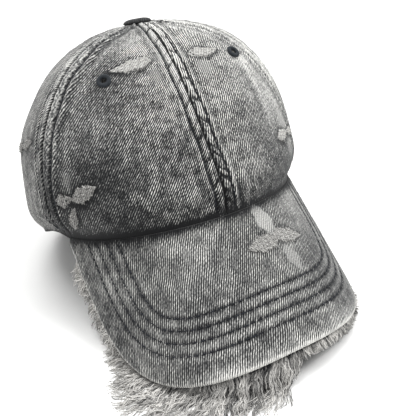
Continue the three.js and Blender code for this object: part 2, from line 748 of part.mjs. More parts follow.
function backStrap() {
  const half = archAngle + tuckedAngle;
  const top = STRAP_LOWER_EDGE + STRAP_HEIGHT;
  const span = { from: 180 - half, to: 180 + half, low: STRAP_LOWER_EDGE, high: top };
  return wallBlock(span, strapOuter, strapOuter + STRAP_WALL, STRAP_COLUMNS, STRAP_ROWS);
}

function sweatband() {
  const end = 180 - archAngle - tuckedAngle - 1;
  const outer = WALL + BAND_CLEARANCE;
  const rows = ROWS_OVER_SEAM.length;
  return sheet(BAND_COLUMNS, rows, (i, j, side) => {
    const angle = rad(lerp(-end, end, i / BAND_COLUMNS));
    const height = j === 0 ? BAND_LOWER_EDGE : rowHeight(angle, j);
    return crownSkin(angle, height, side ? outer : outer + BAND_WALL);
  });
}

// A plain loop round the strap
function clasp() {
  const half = deg(CLASP_WIDTH / 2 / RIM_HALF_DEPTH);
  const low = STRAP_LOWER_EDGE - PIECE_GAP;
  const high = STRAP_LOWER_EDGE + STRAP_HEIGHT + PIECE_GAP;
  const near = strapOuter - PIECE_GAP;
  const far = strapOuter + STRAP_WALL + PIECE_GAP;
  const loop = { from: 180 - half, to: 180 + half, low: low - CLASP_WALL, high: high + CLASP_WALL };
  const body = wallBlock(loop, near - CLASP_WALL, far + CLASP_WALL, CLASP_STEPS, CLASP_STEPS);
  const inside = { from: 180 - 2 * half, to: 180 + 2 * half, low, high };
  const bore = wallBlock(inside, near, far, 2 * CLASP_STEPS, CLASP_STEPS);
  return toGeometry(toSolid(body).subtract(toSolid(bore)));
}

// Finishes: sheet colours and surface values
const FINISH = {
  crown: { color: 0x6b6b69, roughness: 0.92, metalness: 0 },
  crownBack: { color: 0x7a7a77, roughness: 0.92, metalness: 0 },
  visor: { color: 0x7d7d7b, roughness: 0.92, metalness: 0 },
  fringe: { color: 0x929291, roughness: 0.95, metalness: 0 },
  button: { color: 0x24282b, roughness: 0.85, metalness: 0 },
  eyelet: { color: 0x373c3f, roughness: 0.8, metalness: 0 },
  band: { color: 0x2b2d30, roughness: 0.9, metalness: 0 },
  strap: { color: 0x5e5e5c, roughness: 0.92, metalness: 0 },
  clasp: { color: 0x8a8f93, roughness: 0.35, metalness: 1 },
};

const cap = new THREE.Group();
cap.name = "denim_baseball_cap";

function addPiece(name, geometry, finish) {
  const mesh = new THREE.Mesh(geometry, new THREE.MeshStandardMaterial(finish));
  mesh.name = name;
  cap.add(mesh);
}

const arch = toSolid(archCut());
const floor = toSolid(floorCut());
for (const part of PANELS) {
  let solid = toSolid(panel(part.from, part.to));
  for (const eyelet of EYELETS) {
    if (eyelet.panel === part.name) solid = solid.subtract(toSolid(eyeletBore(eyelet)));
  }
  if (part.name.includes("back")) solid = solid.subtract(arch).subtract(floor);
  addPiece(part.name, toGeometry(solid), part.name.includes("front") ? FINISH.crown : FINISH.crownBack);
}
for (const eyelet of EYELETS) addPiece(eyelet.name, eyeletRing(eyelet), FINISH.eyelet);
addPiece("top_button", topButton(), FINISH.button);
addPiece("visor", visor(), FINISH.visor);
addPiece("visor_fringe", fringe(), FINISH.fringe);
addPiece("sweatband", sweatband(), FINISH.band);
addPiece("back_strap", backStrap(), FINISH.strap);
addPiece("strap_clasp", clasp(), FINISH.clasp);

// Tip the cap to its rest and put the middle of its plan on the origin
for (const mesh of cap.children) mesh.geometry.applyMatrix4(rest);
const bounds = new THREE.Box3().setFromObject(cap);
for (const mesh of cap.children) {
  mesh.geometry.translate(-(bounds.min.x + bounds.max.x) / 2, -(bounds.min.y + bounds.max.y) / 2, 0);
}

export default cap;
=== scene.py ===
"""Dresses the washed denim baseball cap round its frame: cloth, stitching, fringe, camera and light."""

import logging
import math
from collections.abc import Callable
from dataclasses import dataclass, field
from enum import Enum

import bmesh
import bpy
import numpy as np
from mathutils import Matrix, Vector


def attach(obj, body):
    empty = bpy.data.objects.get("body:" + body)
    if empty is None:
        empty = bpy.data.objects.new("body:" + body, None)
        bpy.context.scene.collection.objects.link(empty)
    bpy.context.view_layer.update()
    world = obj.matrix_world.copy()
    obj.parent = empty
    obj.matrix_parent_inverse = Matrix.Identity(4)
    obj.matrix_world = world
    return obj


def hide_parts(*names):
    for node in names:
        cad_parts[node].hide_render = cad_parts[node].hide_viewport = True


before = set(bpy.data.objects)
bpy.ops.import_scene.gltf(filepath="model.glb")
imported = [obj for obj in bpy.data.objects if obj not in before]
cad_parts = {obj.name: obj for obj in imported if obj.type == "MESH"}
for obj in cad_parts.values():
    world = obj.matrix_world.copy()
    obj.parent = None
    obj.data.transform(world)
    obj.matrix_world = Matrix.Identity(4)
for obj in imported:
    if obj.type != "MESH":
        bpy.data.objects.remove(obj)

Array = np.ndarray
Pair = tuple[Array, Array]
Material = bpy.types.Material
Object = bpy.types.Object
Socket = bpy.types.NodeSocket

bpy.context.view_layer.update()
LOG = logging.getLogger("cap")
MM = 0.001
UP = np.array([0.0, 0.0, 1.0])


def smooth(x: Array) -> Array:
    """Ease from 0 to 1."""
    t = np.clip(x, 0, 1)
    return t * t * (3 - 2 * t)


def bump(x: Array, centre: float, width: float) -> Array:
    """Bell of height 1."""
    return np.exp(-(((x - centre) / width) ** 2))


def ripple(x: Array, seed: float) -> Array:
    """Uneven repeating wave between 0 and 1, with a period near 5 mm.

    Args:
        x: place in mm.
        seed: shifts the wave.

    Returns:
        Height of the wave.
    """
    wave = 0.5 * np.sin(x * 1.27 + seed) + 0.32 * np.sin(x * 1.93 + 2.3 * seed)
    wave = wave + 0.22 * np.sin(x * 0.61 + 4.1 * seed)
    return np.clip(0.5 + 0.55 * wave, 0, 1)


def creases(x: Array, seed: float) -> Array:
    """Sparse uneven creases between 0 and 1, some 5 to 12 mm apart.

    Args:
        x: place in mm.
        seed: shifts the creases.

    Returns:
        Depth of the creases.
    """
    wave = np.sin(0.95 * x + seed) + np.sin(1.51 * x + 1.3 + 2 * seed)
    wave = wave + 0.8 * np.sin(0.41 * x + 2.1 * seed)
    return smooth((wave - 0.55) / 1.1)


def unit(ways: Array) -> Array:
    """Scale directions to length 1."""
    return ways / np.maximum(np.linalg.norm(ways, axis=-1, keepdims=True), 1e-12)


def distances(line: Array) -> Array:
    """Distance run along each line of points, from 0 at its start."""
    steps = np.linalg.norm(np.diff(line, axis=-2), axis=-1)
    return np.concatenate([np.zeros(steps.shape[:-1] + (1,)), np.cumsum(steps, axis=-1)], axis=-1)


def grid_normals(points: Array) -> Array:
    """Normals of a grid of points, from its columns and rows."""
    return unit(np.cross(np.gradient(points, axis=0), np.gradient(points, axis=1)))


@dataclass(frozen=True)
class Dent:
    """A soft dent in the crown: place and spread in degrees and shares of the height, and depth in mm."""

    at: float
    up: float
    spread_deg: float
    spread_up: float
    depth: float


@dataclass(frozen=True)
class CapForm:
    """The cap's form in its own upright frame, in millimetres, and its place on the floor.

    Angles run round the crown from the front centre, positive to the right. The visor is a flat sheet
    bent about one radius, with p across and q forward. Values in threes are for front, side and back.
    Angles of methods are in radians.
    """

    rim_half_width: float = 81.4
    rim_half_depth: float = 93.4
    crown_top: float = 171.6
    top_shift: tuple[float, float] = (3.8, -4.4)
    roundness: tuple[float, float, float] = (1.79, 2.5, 2.16)
    swell: tuple[float, float, float] = (-0.13, 0.07, 0.07)
    rim_tuck: tuple[float, float, float] = (6.4, 6.4, 1.6)
    tuck_height: float = 9.0
    left_seam_at: float = 68.0
    right_seam_at: float = 60.0
    back_seam_at: float = 126.0
    temple_at: float = 66.0
    rim_flat_from: float = 142.0
    drop_ends_at: float = 76.0
    drop_fade_deg: float = 20.0
    drop_slack: float = 0.6
    back_rim_height: float = 36.0
    visor_front_height: float = 70.2
    visor_pitch: float = 47.4
    visor_bend_radius: float = 85.2
    visor_length: float = 79.1
    visor_half_arc: float = 94.2
    visor_corner_back: float = 3.6
    visor_squareness: float = 2.93
    visor_side_bow: float = 1.6
    visor_tab_deg: float = 2.0
    visor_wall: float = 3.0
    under_blend: float = 14.0
    level_below: float = 24.0
    bend_limit: float = 0.985
    inside_height: float = 80.0
    piece_gap: float = 0.3
    rest_tilt_deg: float = 10.578
    rest_drop: float = 20.994
    centre_shift: tuple[float, float] = (-0.168, 20.167)
    dents: tuple[Dent, ...] = (
        Dent(-26, 0.2, 17, 0.16, 2.2),
        Dent(34, 0.3, 15, 0.2, 1.2),
        Dent(-97, 0.34, 20, 0.22, 2.6),
        Dent(-98, 0.74, 26, 0.2, 3.6),
        Dent(104, 0.4, 18, 0.2, 2.4),
        Dent(150, 0.66, 16, 0.14, 2.4),
        Dent(-146, 0.56, 18, 0.16, 2.0),
    )

    def place(self, points: Array) -> Array:
        """Tip points of the upright frame (mm) to the cap's rest on the floor (m).

        Args:
            points: points, with x, y and z last.

        Returns:
            The points at rest.
        """
        tilt = math.radians(self.rest_tilt_deg)
        x = points[..., 0] + self.centre_shift[0]
        y = points[..., 1] * math.cos(tilt) + points[..., 2] * math.sin(tilt) + self.centre_shift[1]
        z = -points[..., 1] * math.sin(tilt) + points[..., 2] * math.cos(tilt) - self.rest_drop
        return np.stack([x, y, z], -1) * MM

    def turn(self, ways: Array) -> Array:
        """Turn directions of the upright frame to the rest frame.

        Args:
            ways: directions, with x, y and z last.

        Returns:
            The turned directions.
        """
        tilt = math.radians(self.rest_tilt_deg)
        y = ways[..., 1] * math.cos(tilt) + ways[..., 2] * math.sin(tilt)
        z = -ways[..., 1] * math.sin(tilt) + ways[..., 2] * math.cos(tilt)
        return np.stack([ways[..., 0], y, z], -1)

    @staticmethod
    def round_value(values: tuple[float, float, float], angle: Array) -> Array:
        """Blend a front, side and back value round the head.

        Args:
            values: values at the front, the sides and the back.
            angle: angle round the crown.

        Returns:
            The value at each angle.
        """
        facing = np.cos(angle)
        front = np.clip(facing, 0, 1) ** 2
        back = np.clip(-facing, 0, 1) ** 2
        return values[0] * front + values[2] * back + values[1] * (1 - front - back)

    def visor_point(self, p: Array, q: Array) -> Array:
        """Upper face of the visor at a place of its flat sheet.

        Args:
            p: place across the sheet.
            q: place forward on the sheet.

        Returns:
            Point in the upright frame.
        """
        bend = p / self.visor_bend_radius
        fall = self.visor_bend_radius * (1 - np.cos(bend))
        pitch = math.radians(self.visor_pitch)
        x = self.visor_bend_radius * np.sin(bend) + 0 * q
        y = -self.rim_half_depth - q * math.cos(pitch) + fall * math.sin(pitch)
        z = self.visor_front_height - q * math.sin(pitch) - fall * math.cos(pitch)
        return np.stack([x, y, z], -1)

    def visor_normal(self, p: Array) -> Array:
        """Upward normal of the visor's sheet.

        Args:
            p: place across the sheet.

        Returns:
            Direction in the upright frame.
        """
        bend = p / self.visor_bend_radius
        pitch = math.radians(self.visor_pitch)
        return np.stack([np.sin(bend), -np.cos(bend) * math.sin(pitch), np.cos(bend) * math.cos(pitch)], -1)

    def on_visor(self, x: Array, y: Array) -> Pair:
        """Sheet place under a plan point.

        Args:
            x: place to the right.
            y: place to the back.

        Returns:
            Its p and q.
        """
        bend = np.arcsin(np.clip(x / self.visor_bend_radius, -self.bend_limit, self.bend_limit))
        fall = self.visor_bend_radius * (1 - np.cos(bend))
        pitch = math.radians(self.visor_pitch)
        q = (-self.rim_half_depth - y + fall * math.sin(pitch)) / math.cos(pitch)
        return self.visor_bend_radius * bend, q

    def rim_oval(self, angle: Array, outset: float) -> Pair:
        """Plan point of the crown's lower edge, moved outward by outset."""
        return (self.rim_half_width + outset) * np.sin(angle), -(self.rim_half_depth + outset) * np.cos(angle)

    def visor_height(self, angle: Array) -> Array:
        """Height of the visor's upper face along the rim."""
        p, q = self.on_visor(*self.rim_oval(angle, 0))
        return self.visor_point(p, q)[..., 2]

    def seam_line(self, angle: Array) -> Array:
        """Height of the crown's seam line: on the visor at the front, then a smooth fall to the back.

        Args:
            angle: angle round the crown.

        Returns:
            Height in the upright frame.
        """
        turn = np.abs(angle)
        temple = math.radians(self.temple_at)
        start = self.visor_height(np.array(temple))
        slope = (start - self.visor_height(np.array(temple - math.radians(1)))) / math.radians(1)
        span = math.radians(self.rim_flat_from) - temple
        t = np.clip((turn - temple) / span, 0, 1)
        keep = 2 * t**3 - 3 * t**2 + 1
        lean = t**3 - 2 * t**2 + t
        back = keep * start + lean * span * slope + (1 - keep) * self.back_rim_height
        return np.where(turn <= temple, self.visor_height(np.minimum(turn, temple)), back)

    def drop_at(self, angle: Array) -> Array:
        """How far the wall runs on below the seam line, behind the visor's inner edge.

        Args:
            angle: angle round the crown.

        Returns:
            Drop at each angle.
        """
        full = self.visor_wall / math.cos(math.radians(self.visor_pitch)) + self.drop_slack
        before = math.radians(self.drop_ends_at) - np.abs(angle)
        return full * smooth(before / math.radians(self.drop_fade_deg))

    def crown_base(self, angle: Array, height: Array) -> Array:
        """Point of the crown's outer face by angle and height above its lower edge, without dents.

        Args:
            angle: angle round the crown.
            height: height above the lower edge.

        Returns:
            Point in the upright frame.
        """
        line, drop = self.seam_line(angle), self.drop_at(angle)
        above = np.maximum(height - drop, 0)
        power = self.round_value(self.roundness, angle)
        up = np.clip(above / (self.crown_top - line), 0, 1)
        inward = np.maximum(1 - up**power, 0) ** (1 / power)
        swell = 1 + self.round_value(self.swell, angle) * 2 * (up * inward) ** (power / 2)
        plan = np.hypot(self.rim_half_width * np.sin(angle), self.rim_half_depth * np.cos(angle))
        tuck = self.round_value(self.rim_tuck, angle) * (1 - bump(above, 0, self.tuck_height))
        share = inward * (swell + tuck / plan)
        x = self.rim_half_width * np.sin(angle) * share + self.top_shift[0] * up**2
        y = -self.rim_half_depth * np.cos(angle) * share + self.top_shift[1] * up**2
        return np.stack([x, y, line - drop + height], -1)

    def crown_tall(self, angle: Array) -> Array:
        """Height of the wall from its lower edge to the top."""
        return self.crown_top - self.seam_line(angle) + self.drop_at(angle)

    def height_at_arc(self, angle: Array, arc: Array) -> Array:
        """Height above the lower edge for an arc angle between rim (0) and top (90 degrees).

        Args:
            angle: angle round the crown.
            arc: arc angle in degrees.

        Returns:
            Height of the place.
        """
        power = self.round_value(self.roundness, angle)
        rise = np.sin(np.radians(np.clip(arc, 0, 90))) ** (2 / power)
        return self.drop_at(angle) + (self.crown_top - self.seam_line(angle)) * rise

    def arc_of_height(self, angle: Array, height: Array) -> Array:
        """Arc angle for a height above the lower edge.

        Args:
            angle: angle round the crown.
            height: height above the lower edge.

        Returns:
            Arc angle in degrees.
        """
        power = self.round_value(self.roundness, angle)
        up = np.clip((height - self.drop_at(angle)) / (self.crown_top - self.seam_line(angle)), 0, 1)
        return np.degrees(np.arcsin(np.clip(up ** (power / 2), 0, 1)))

    def crown_normal(self, angle: Array, height: Array) -> Array:
        """Outward direction of the crown, level at the lower edge.

        Args:
            angle: angle round the crown.
            height: height above the lower edge.

        Returns:
            Direction in the upright frame.
        """
        step, arc_step = 0.004, 0.25
        arc = self.arc_of_height(angle, height)

        def spot(turn: Array, level: Array) -> Array:
            """Point of the crown without dents at an arc angle."""
            return self.crown_base(turn, self.height_at_arc(turn, level))

        along = spot(angle + step, arc) - spot(angle - step, arc)
        upward = spot(angle, np.minimum(arc + arc_step, 90)) - spot(angle, np.maximum(arc - arc_step, 0))
        normal = unit(np.cross(along, upward))
        normal[..., 2] *= smooth(height / self.level_below)
        return unit(normal)

    def dent_depth(self, angle: Array, height: Array) -> Array:
        """Depth of the soft dents at a place of the crown.

        Args:
            angle: angle round the crown.
            height: height above the lower edge.

        Returns:
            Depth of the dents.
        """
        up = height / self.crown_tall(angle)
        depth = np.zeros(np.broadcast(angle, height).shape)
        for dent in self.dents:
            turn = (np.degrees(angle) - dent.at + 180) % 360 - 180
            depth += dent.depth * bump(turn, 0, dent.spread_deg) * bump(up, dent.up, dent.spread_up)
        above = np.maximum(height - self.drop_at(angle), 0)
        return depth * (1 - bump(above, 0, 3 * self.tuck_height))

    def crown_skin(self, angle: Array, height: Array, depth: Array) -> Array:
        """Point at a depth under the crown's outer face.

        Args:
            angle: angle round the crown.
            height: height above the lower edge.
            depth: depth under the face.

        Returns:
            Point in the upright frame.
        """
        normal = self.crown_normal(angle, height)
        down = np.asarray(depth + self.dent_depth(angle, height))
        return self.crown_base(angle, height) - normal * down[..., None]

    def visor_under(self, p: Array, q: Array, from_rim: Array, depth: float) -> Array:
        """Point under the visor: straight down at the rim, along the sheet's normal further out.

        Args:
            p: place across the sheet.
            q: place forward on the sheet.
            from_rim: distance from the rim.
            depth: depth under the upper face.

        Returns:
            Point in the upright frame.
        """
        normal = self.visor_normal(p)
        mix = smooth(from_rim / self.under_blend)[..., None]
        way = unit((1 - mix) * UP + mix * normal)
        reach = depth / np.maximum((way * normal).sum(-1), 0.6)
        return self.visor_point(p, q) - way * reach[..., None]

    def rim_root(self, u: Array) -> Pair:
        """Sheet place where the visor meets the rim, for u from -1 to 1."""
        half = math.radians(self.temple_at + self.visor_tab_deg)
        return self.on_visor(*self.rim_oval(half * u, self.piece_gap))

    def edge_track(self) -> Array:
        """Visor's outline in its flat sheet from temple to temple, as rows of p and q.

        Returns:
            The outline's points.
        """
        root_p, root_q = self.rim_root(np.array(1.0))
        t = np.linspace(0, 1, 40)[1:]
        side_p = self.visor_half_arc + (root_p - self.visor_half_arc) * t**self.visor_side_bow
        side_q = -self.visor_corner_back + (root_q + self.visor_corner_back) * t
        turn = np.linspace(-math.pi / 2, math.pi / 2, 241)
        power = 2 / self.visor_squareness
        front_p = self.visor_half_arc * np.sign(turn) * np.abs(np.sin(turn)) ** power
        reach = self.visor_length + self.visor_corner_back
        front_q = -self.visor_corner_back + reach * np.abs(np.cos(turn)) ** power
        p = np.concatenate([-side_p[::-1], front_p, side_p])
        q = np.concatenate([side_q[::-1], front_q, side_q])
        return np.stack([p, q], -1)

    def edge_at(self, u: Array) -> Pair:
        """Outline point and outward direction in the sheet, for u from -1 to 1.

        Args:
            u: share of the way along the outline.

        Returns:
            Points and directions as p and q.
        """
        track = self.edge_track()
        run = distances(track)
        run = run / run[-1] * 2 - 1
        step = 0.012
        behind, spot, ahead = (
            np.stack([np.interp(u + way * step, run, track[:, k]) for k in (0, 1)], -1) for way in (-1, 0, 1)
        )
        along = unit(ahead - behind)
        return spot, np.stack([-along[..., 1], along[..., 0]], -1)

    def inside_point(self) -> Vector:
        """Point in the middle of the crown's hollow, in the rest frame."""
        return Vector(self.place(np.array([0.0, 0.0, self.inside_height])))

    def inset_of(self, p: Array, q: Array) -> Array:
        """Distance in the sheet from the visor's outline.

        Args:
            p: place across the sheet.
            q: place forward on the sheet.

        Returns:
            Distance of each place.
        """
        track = self.edge_track()
        spots = np.stack([p.ravel(), q.ravel()], -1)
        best = np.full(len(spots), 1e9)
        for start, end in zip(track[:-1], track[1:]):
            way = end - start
            share = np.clip(((spots - start) @ way) / (way @ way), 0, 1)
            best = np.minimum(best, np.hypot(*(spots - start - share[:, None] * way).T))
        return best.reshape(p.shape)


FORM = CapForm()


def linear(code: int) -> tuple[float, float, float, float]:
    """Turn an sRGB hex value to linear colour."""
    parts = [((code >> shift) & 255) / 255 for shift in (16, 8, 0)]
    return (*[c / 12.92 if c <= 0.04045 else ((c + 0.055) / 1.055) ** 2.4 for c in parts], 1.0)


class Slot(Enum):
    """Material slots of the record."""

    CROWN_FRONT = "crown_front"
    CROWN_REAR = "crown_rear"
    VISOR = "visor"
    FRINGE = "fringe"
    BUTTON = "button"
    EYELETS = "eyelets"
    SWEATBAND = "sweatband"
    STRAP = "strap"
    CLASP = "clasp"


class Board:
    """Adds nodes to one new material."""

    def __init__(self, name: str) -> None:
        """Start an empty material.

        Args:
            name: name of the material.
        """
        self.material = bpy.data.materials.new(name)
        self.material.use_nodes = True
        self.tree = self.material.node_tree
        self.tree.nodes.clear()

    def add(self, kind: str, inputs: dict | None = None, **settings: object) -> bpy.types.Node:
        """Add one node.

        Args:
            kind: node type without its ShaderNode prefix.
            inputs: values or sockets by input name or number.
            settings: properties of the node.

        Returns:
            The node.
        """
        node = self.tree.nodes.new("ShaderNode" + kind)
        for key, value in settings.items():
            setattr(node, key, value)
        for key, value in (inputs or {}).items():
            if isinstance(value, Socket):
                self.tree.links.new(value, node.inputs[key])
            else:
                node.inputs[key].default_value = value
        return node

    def maths(self, operation: str, *values: object) -> Socket:
        """Socket of a Math node on up to three values."""
        return self.add("Math", dict(enumerate(values)), operation=operation).outputs[0]

    def mad(self, value: object, scale: float, offset: float = 0.0) -> Socket:
        """Socket of value times scale plus offset."""
        return self.maths("MULTIPLY_ADD", value, scale, offset)

    def around(self, value: object, amount: float) -> Socket:
        """Socket of a 0-to-1 value that then runs from minus to plus half of amount."""
        return self.mad(value, amount, -0.5 * amount)

    def cycle(self, value: object) -> Socket:
        """Socket of a sine that repeats each time the value grows by 1."""
        return self.maths("SINE", self.maths("MULTIPLY", value, 2 * math.pi))

    def stretched(self, vector: object, factors: tuple[float, float, float]) -> Socket:
        """Socket of a vector with each part multiplied."""
        return self.add("VectorMath", {0: vector, 1: factors}, operation="MULTIPLY").outputs[0]

    def dot(self, vector: object, way: tuple[float, float, float]) -> Socket:
        """Socket of a dot product with a constant direction."""
        return self.add("VectorMath", {0: vector, 1: way}, operation="DOT_PRODUCT").outputs["Value"]

    def attribute(self, name: str, output: str = "Fac") -> Socket:
        """Socket of a mesh attribute."""
        return self.add("Attribute", attribute_name=name).outputs[output]

    def noise(self, vector: object, scale: float, detail: float = 2.0, rough: float = 0.55) -> Socket:
        """Socket of a noise value about 0.5."""
        inputs = {"Vector": vector, "Scale": scale, "Detail": detail, "Roughness": rough}
        return self.add("TexNoise", inputs).outputs[0]

    def total(self, *values: object) -> Socket:
        """Socket of a sum.

        Args:
            values: values or sockets.

        Returns:
            The socket.
        """
        out = values[0]
        for value in values[1:]:
            out = self.maths("ADD", out, value)
        return out

    def ramp(self, value: object, stops: tuple[tuple[float, int], ...]) -> Socket:
        """Socket of a colour ramp with sRGB stops.

        Args:
            value: socket that picks the colour.
            stops: place and hex colour of each stop.

        Returns:
            The colour socket.
        """
        node = self.add("ValToRGB", {0: value})
        band = node.color_ramp
        while len(band.elements) < len(stops):
            band.elements.new(0.5)
        for element, (place, code) in zip(band.elements, stops):
            element.position = place
            element.color = linear(code)
        return node.outputs[0]

    def finish(self, color: object, height: object, depth: float, **surface: float) -> Material:
        """Close the material with a bumped surface shader.

        Args:
            color: colour socket or value.
            height: height socket between 0 and 1.
            depth: depth of the relief in metres.
            surface: constant values of the shader by input name, with _ for a blank.

        Returns:
            The material.
        """
        relief = self.add("Bump", {"Height": height, "Distance": depth, "Strength": 1.0})
        inputs = {"Base Color": color, "Normal": relief.outputs[0]}
        inputs.update({key.replace("_", " "): value for key, value in surface.items()})
        shader = self.add("BsdfPrincipled", inputs)
        self.add("OutputMaterial", {0: shader.outputs[0]})
        return self.material


@dataclass(frozen=True)
class Denim:
    """Stone-washed grey-black cotton twill, dyed in the warp and abraded. Lengths in mm."""

    name: str
    pitch: float = 1.2
    lean_deg: float = 25.0
    level: float = 0.295
    contrast: float = 1.05
    clouds: float = 0.5
    relief: float = 0.10
    rubbing: float = 0.85
    drift: float = 2.2
    thread_run: float = 0.33
    patch_level: float = 0.49
    shades: tuple[tuple[float, int], ...] = (
        (0.0, 0x0F1012),
        (0.22, 0x38393A),
        (0.45, 0x6D6D6C),
        (0.7, 0xA6A6A3),
        (1.0, 0xE4E3DF),
    )

    def threads(self, board: Board, cloth: object) -> tuple[Socket, Socket]:
        """Places across and along the twill's ridges, counted in ridges.

        Args:
            board: the material's nodes.
            cloth: socket of the cloth places.

        Returns:
            Sockets of the place across and along.
        """
        lean = math.radians(self.lean_deg)
        across = board.dot(cloth, (math.cos(lean) / self.pitch, -math.sin(lean) / self.pitch, 0))
        along = board.dot(cloth, (math.sin(lean) / self.pitch, math.cos(lean) / self.pitch, 0))
        wander = board.mad(board.noise(cloth, scale=0.06), self.drift)
        return board.maths("ADD", across, wander), along

    @staticmethod
    def ridge(board: Board, across: object, along: object) -> Socket:
        """Height of the twill's ridges, notched where the weft crosses.

        Args:
            board: the material's nodes.
            across: socket of the place across the ridges.
            along: socket of the place along them.

        Returns:
            Socket of the height from 0 to 1.
        """
        line = board.add("Clamp", {0: board.mad(board.cycle(across), 0.85, 0.5)}).outputs[0]
        step = board.maths("ADD", board.mad(along, 0.42), board.mad(across, 0.5))
        beat = board.mad(board.cycle(step), 0.5, 0.5)
        return board.maths("MULTIPLY", line, board.mad(beat, 0.22, 0.82))

    def build(self) -> Material:
        """Make the material from the mesh's cloth, tone, petal and worn layers.

        Returns:
            The material.
        """
        board = Board(self.name)
        contrast, clouds = self.contrast, self.clouds
        cloth = board.attribute("cloth", "Vector")
        tone = board.attribute("tone")
        left = board.mad(board.attribute("worn"), -self.rubbing, 1.0)
        across, along = self.threads(board, cloth)
        ridge = self.ridge(board, across, along)
        places = {0: across, 1: board.mad(along, self.thread_run), 2: 0.0}
        strands = board.add("CombineXYZ", places).outputs[0]
        slub = board.noise(strands, scale=1.15, detail=1.0, rough=0.6)
        speck = board.noise(strands, scale=2.6, detail=0.0, rough=0.5)
        streak = board.noise(board.stretched(cloth, (1.1, 0.09, 1.0)), scale=0.9)
        fleck = board.noise(cloth, scale=1.1, detail=1.0, rough=0.6)
        mottle = board.noise(cloth, scale=0.11, detail=3.0, rough=0.6)
        cloud = board.noise(cloth, scale=0.032, detail=3.0, rough=0.5)
        fade = board.noise(cloth, scale=0.19, rough=0.5)
        swing = board.maths("MULTIPLY", board.mad(fade, 3.2 * contrast, -0.45 * contrast), left)
        value = board.total(
            self.level,
            tone,
            board.maths("MULTIPLY", board.around(ridge, 1.0), swing),
            board.around(slub, 0.6 * contrast),
            board.around(speck, 0.8 * contrast),
            board.around(fleck, 0.7 * contrast),
            board.around(streak, 0.44),
            board.around(mottle, 0.9 * clouds),
            board.around(cloud, 1.3 * clouds),
        )
        matted = board.total(
            self.patch_level,
            board.around(board.noise(cloth, scale=1.9, rough=0.7), 1.2),
            board.mad(ridge, 0.22, -0.1),
            board.mad(tone, 0.6),
        )
        mixed = {0: board.attribute("petal"), 2: value, 3: matted}
        color = board.ramp(board.add("Mix", mixed, data_type="FLOAT").outputs[0], self.shades)
        raised = board.maths("MULTIPLY", board.mad(ridge, 0.5), left)
        height = board.total(raised, board.mad(slub, 0.5), board.mad(speck, 0.2))
        return board.finish(
            color,
            height,
            self.relief * MM,
            Roughness=0.92,
            Specular_IOR_Level=0.18,
            Sheen_Weight=0.12,
            Sheen_Roughness=0.6,
        )


@dataclass(frozen=True)
class Matted:
    """Abraded cotton patch, fulled flat, with no clear twill. Lengths in mm."""

    name: str
    level: float = 0.47
    relief: float = 0.25

    def build(self) -> Material:
        """Make the material from the mesh's cloth and tone layers.

        Returns:
            The material.
        """
        board = Board(self.name)
        cloth = board.attribute("cloth", "Vector")
        fuzz = board.noise(cloth, scale=1.9, detail=3.0, rough=0.75)
        fibre = board.noise(board.stretched(cloth, (0.5, 1.8, 1)), scale=1.2)
        rib = board.maths("SINE", board.dot(cloth, (4.4, -2.6, 0)))
        value = board.total(
            self.level,
            board.attribute("tone"),
            board.around(fuzz, 1.7),
            board.around(fibre, 1.1),
            board.mad(rib, 0.11),
        )
        color = board.ramp(value, ((0.0, 0x1E1E1D), (0.3, 0x585756), (0.6, 0x9B9A97), (1.0, 0xDDDCD8)))
        height = board.total(fuzz, board.mad(rib, 0.25))
        return board.finish(
            color, height, self.relief * MM, Roughness=0.95, Specular_IOR_Level=0.1, Sheen_Weight=0.15
        )


@dataclass(frozen=True)
class Thread:
    """Spun thread with a tone for each strand. Lengths in mm."""

    name: str
    dark: int
    light: int
    twist: float = 2.2
    relief: float = 0.05

    def build(self) -> Material:
        """Make the material from the mesh's tone layer.

        Returns:
            The material.
        """
        board = Board(self.name)
        fuzz = board.noise(board.add("TexCoord").outputs["Object"], scale=self.twist / MM, detail=1.0)
        value = board.total(board.attribute("tone"), board.around(fuzz, 0.3))
        color = board.ramp(value, ((0.0, self.dark), (1.0, self.light)))
        return board.finish(
            color, fuzz, self.relief * MM, Roughness=0.85, Specular_IOR_Level=0.2, Sheen_Weight=0.1
        )


@dataclass(frozen=True)
class PlainTwill:
    """Plain dark cotton twill tape. Lengths in mm."""

    name: str
    dark: int
    light: int
    relief: float = 0.08

    def build(self) -> Material:
        """Make the material from the mesh's cloth layer.

        Returns:
            The material.
        """
        board = Board(self.name)
        cloth = board.attribute("cloth", "Vector")
        rib = board.mad(board.maths("SINE", board.dot(cloth, (5.2, 5.2, 0))), 0.5, 0.5)
        fuzz = board.noise(cloth, scale=1.3)
        value = board.total(board.mad(rib, 0.4, 0.1), board.mad(fuzz, 0.7, -0.15))
        color = board.ramp(value, ((0.0, self.dark), (1.0, self.light)))
        return board.finish(
            color, rib, self.relief * MM, Roughness=0.9, Specular_IOR_Level=0.2, Sheen_Weight=0.1
        )


@dataclass(frozen=True)
class SatinMetal:
    """Pressed steel loop, satin finished. Lengths in mm."""

    name: str
    relief: float = 0.02

    def build(self) -> Material:
        """Make the material with fine brushing across the loop.

        Returns:
            The material.
        """
        board = Board(self.name)
        place = board.add("TexCoord").outputs["Object"]
        brush = board.noise(board.stretched(place, (60, 900, 900)), scale=4.0)
        color = board.ramp(brush, ((0.0, 0x6B6F73), (1.0, 0xA9ADB0)))
        return board.finish(color, brush, self.relief * MM, Roughness=0.36, Metallic=1.0)


def show(obj: Object, slot: Slot, *nodes: str) -> Object:
    """Hook a finished piece to the frame.

    Args:
        obj: the piece.
        slot: its material slot in the record; not used.
        nodes: CAD nodes that it stands for.

    Returns:
        The piece.
    """
    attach(obj, "root")
    if nodes:
        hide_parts(*nodes)
    LOG.info("%s: %d faces", obj.name, len(obj.data.polygons))
    return obj


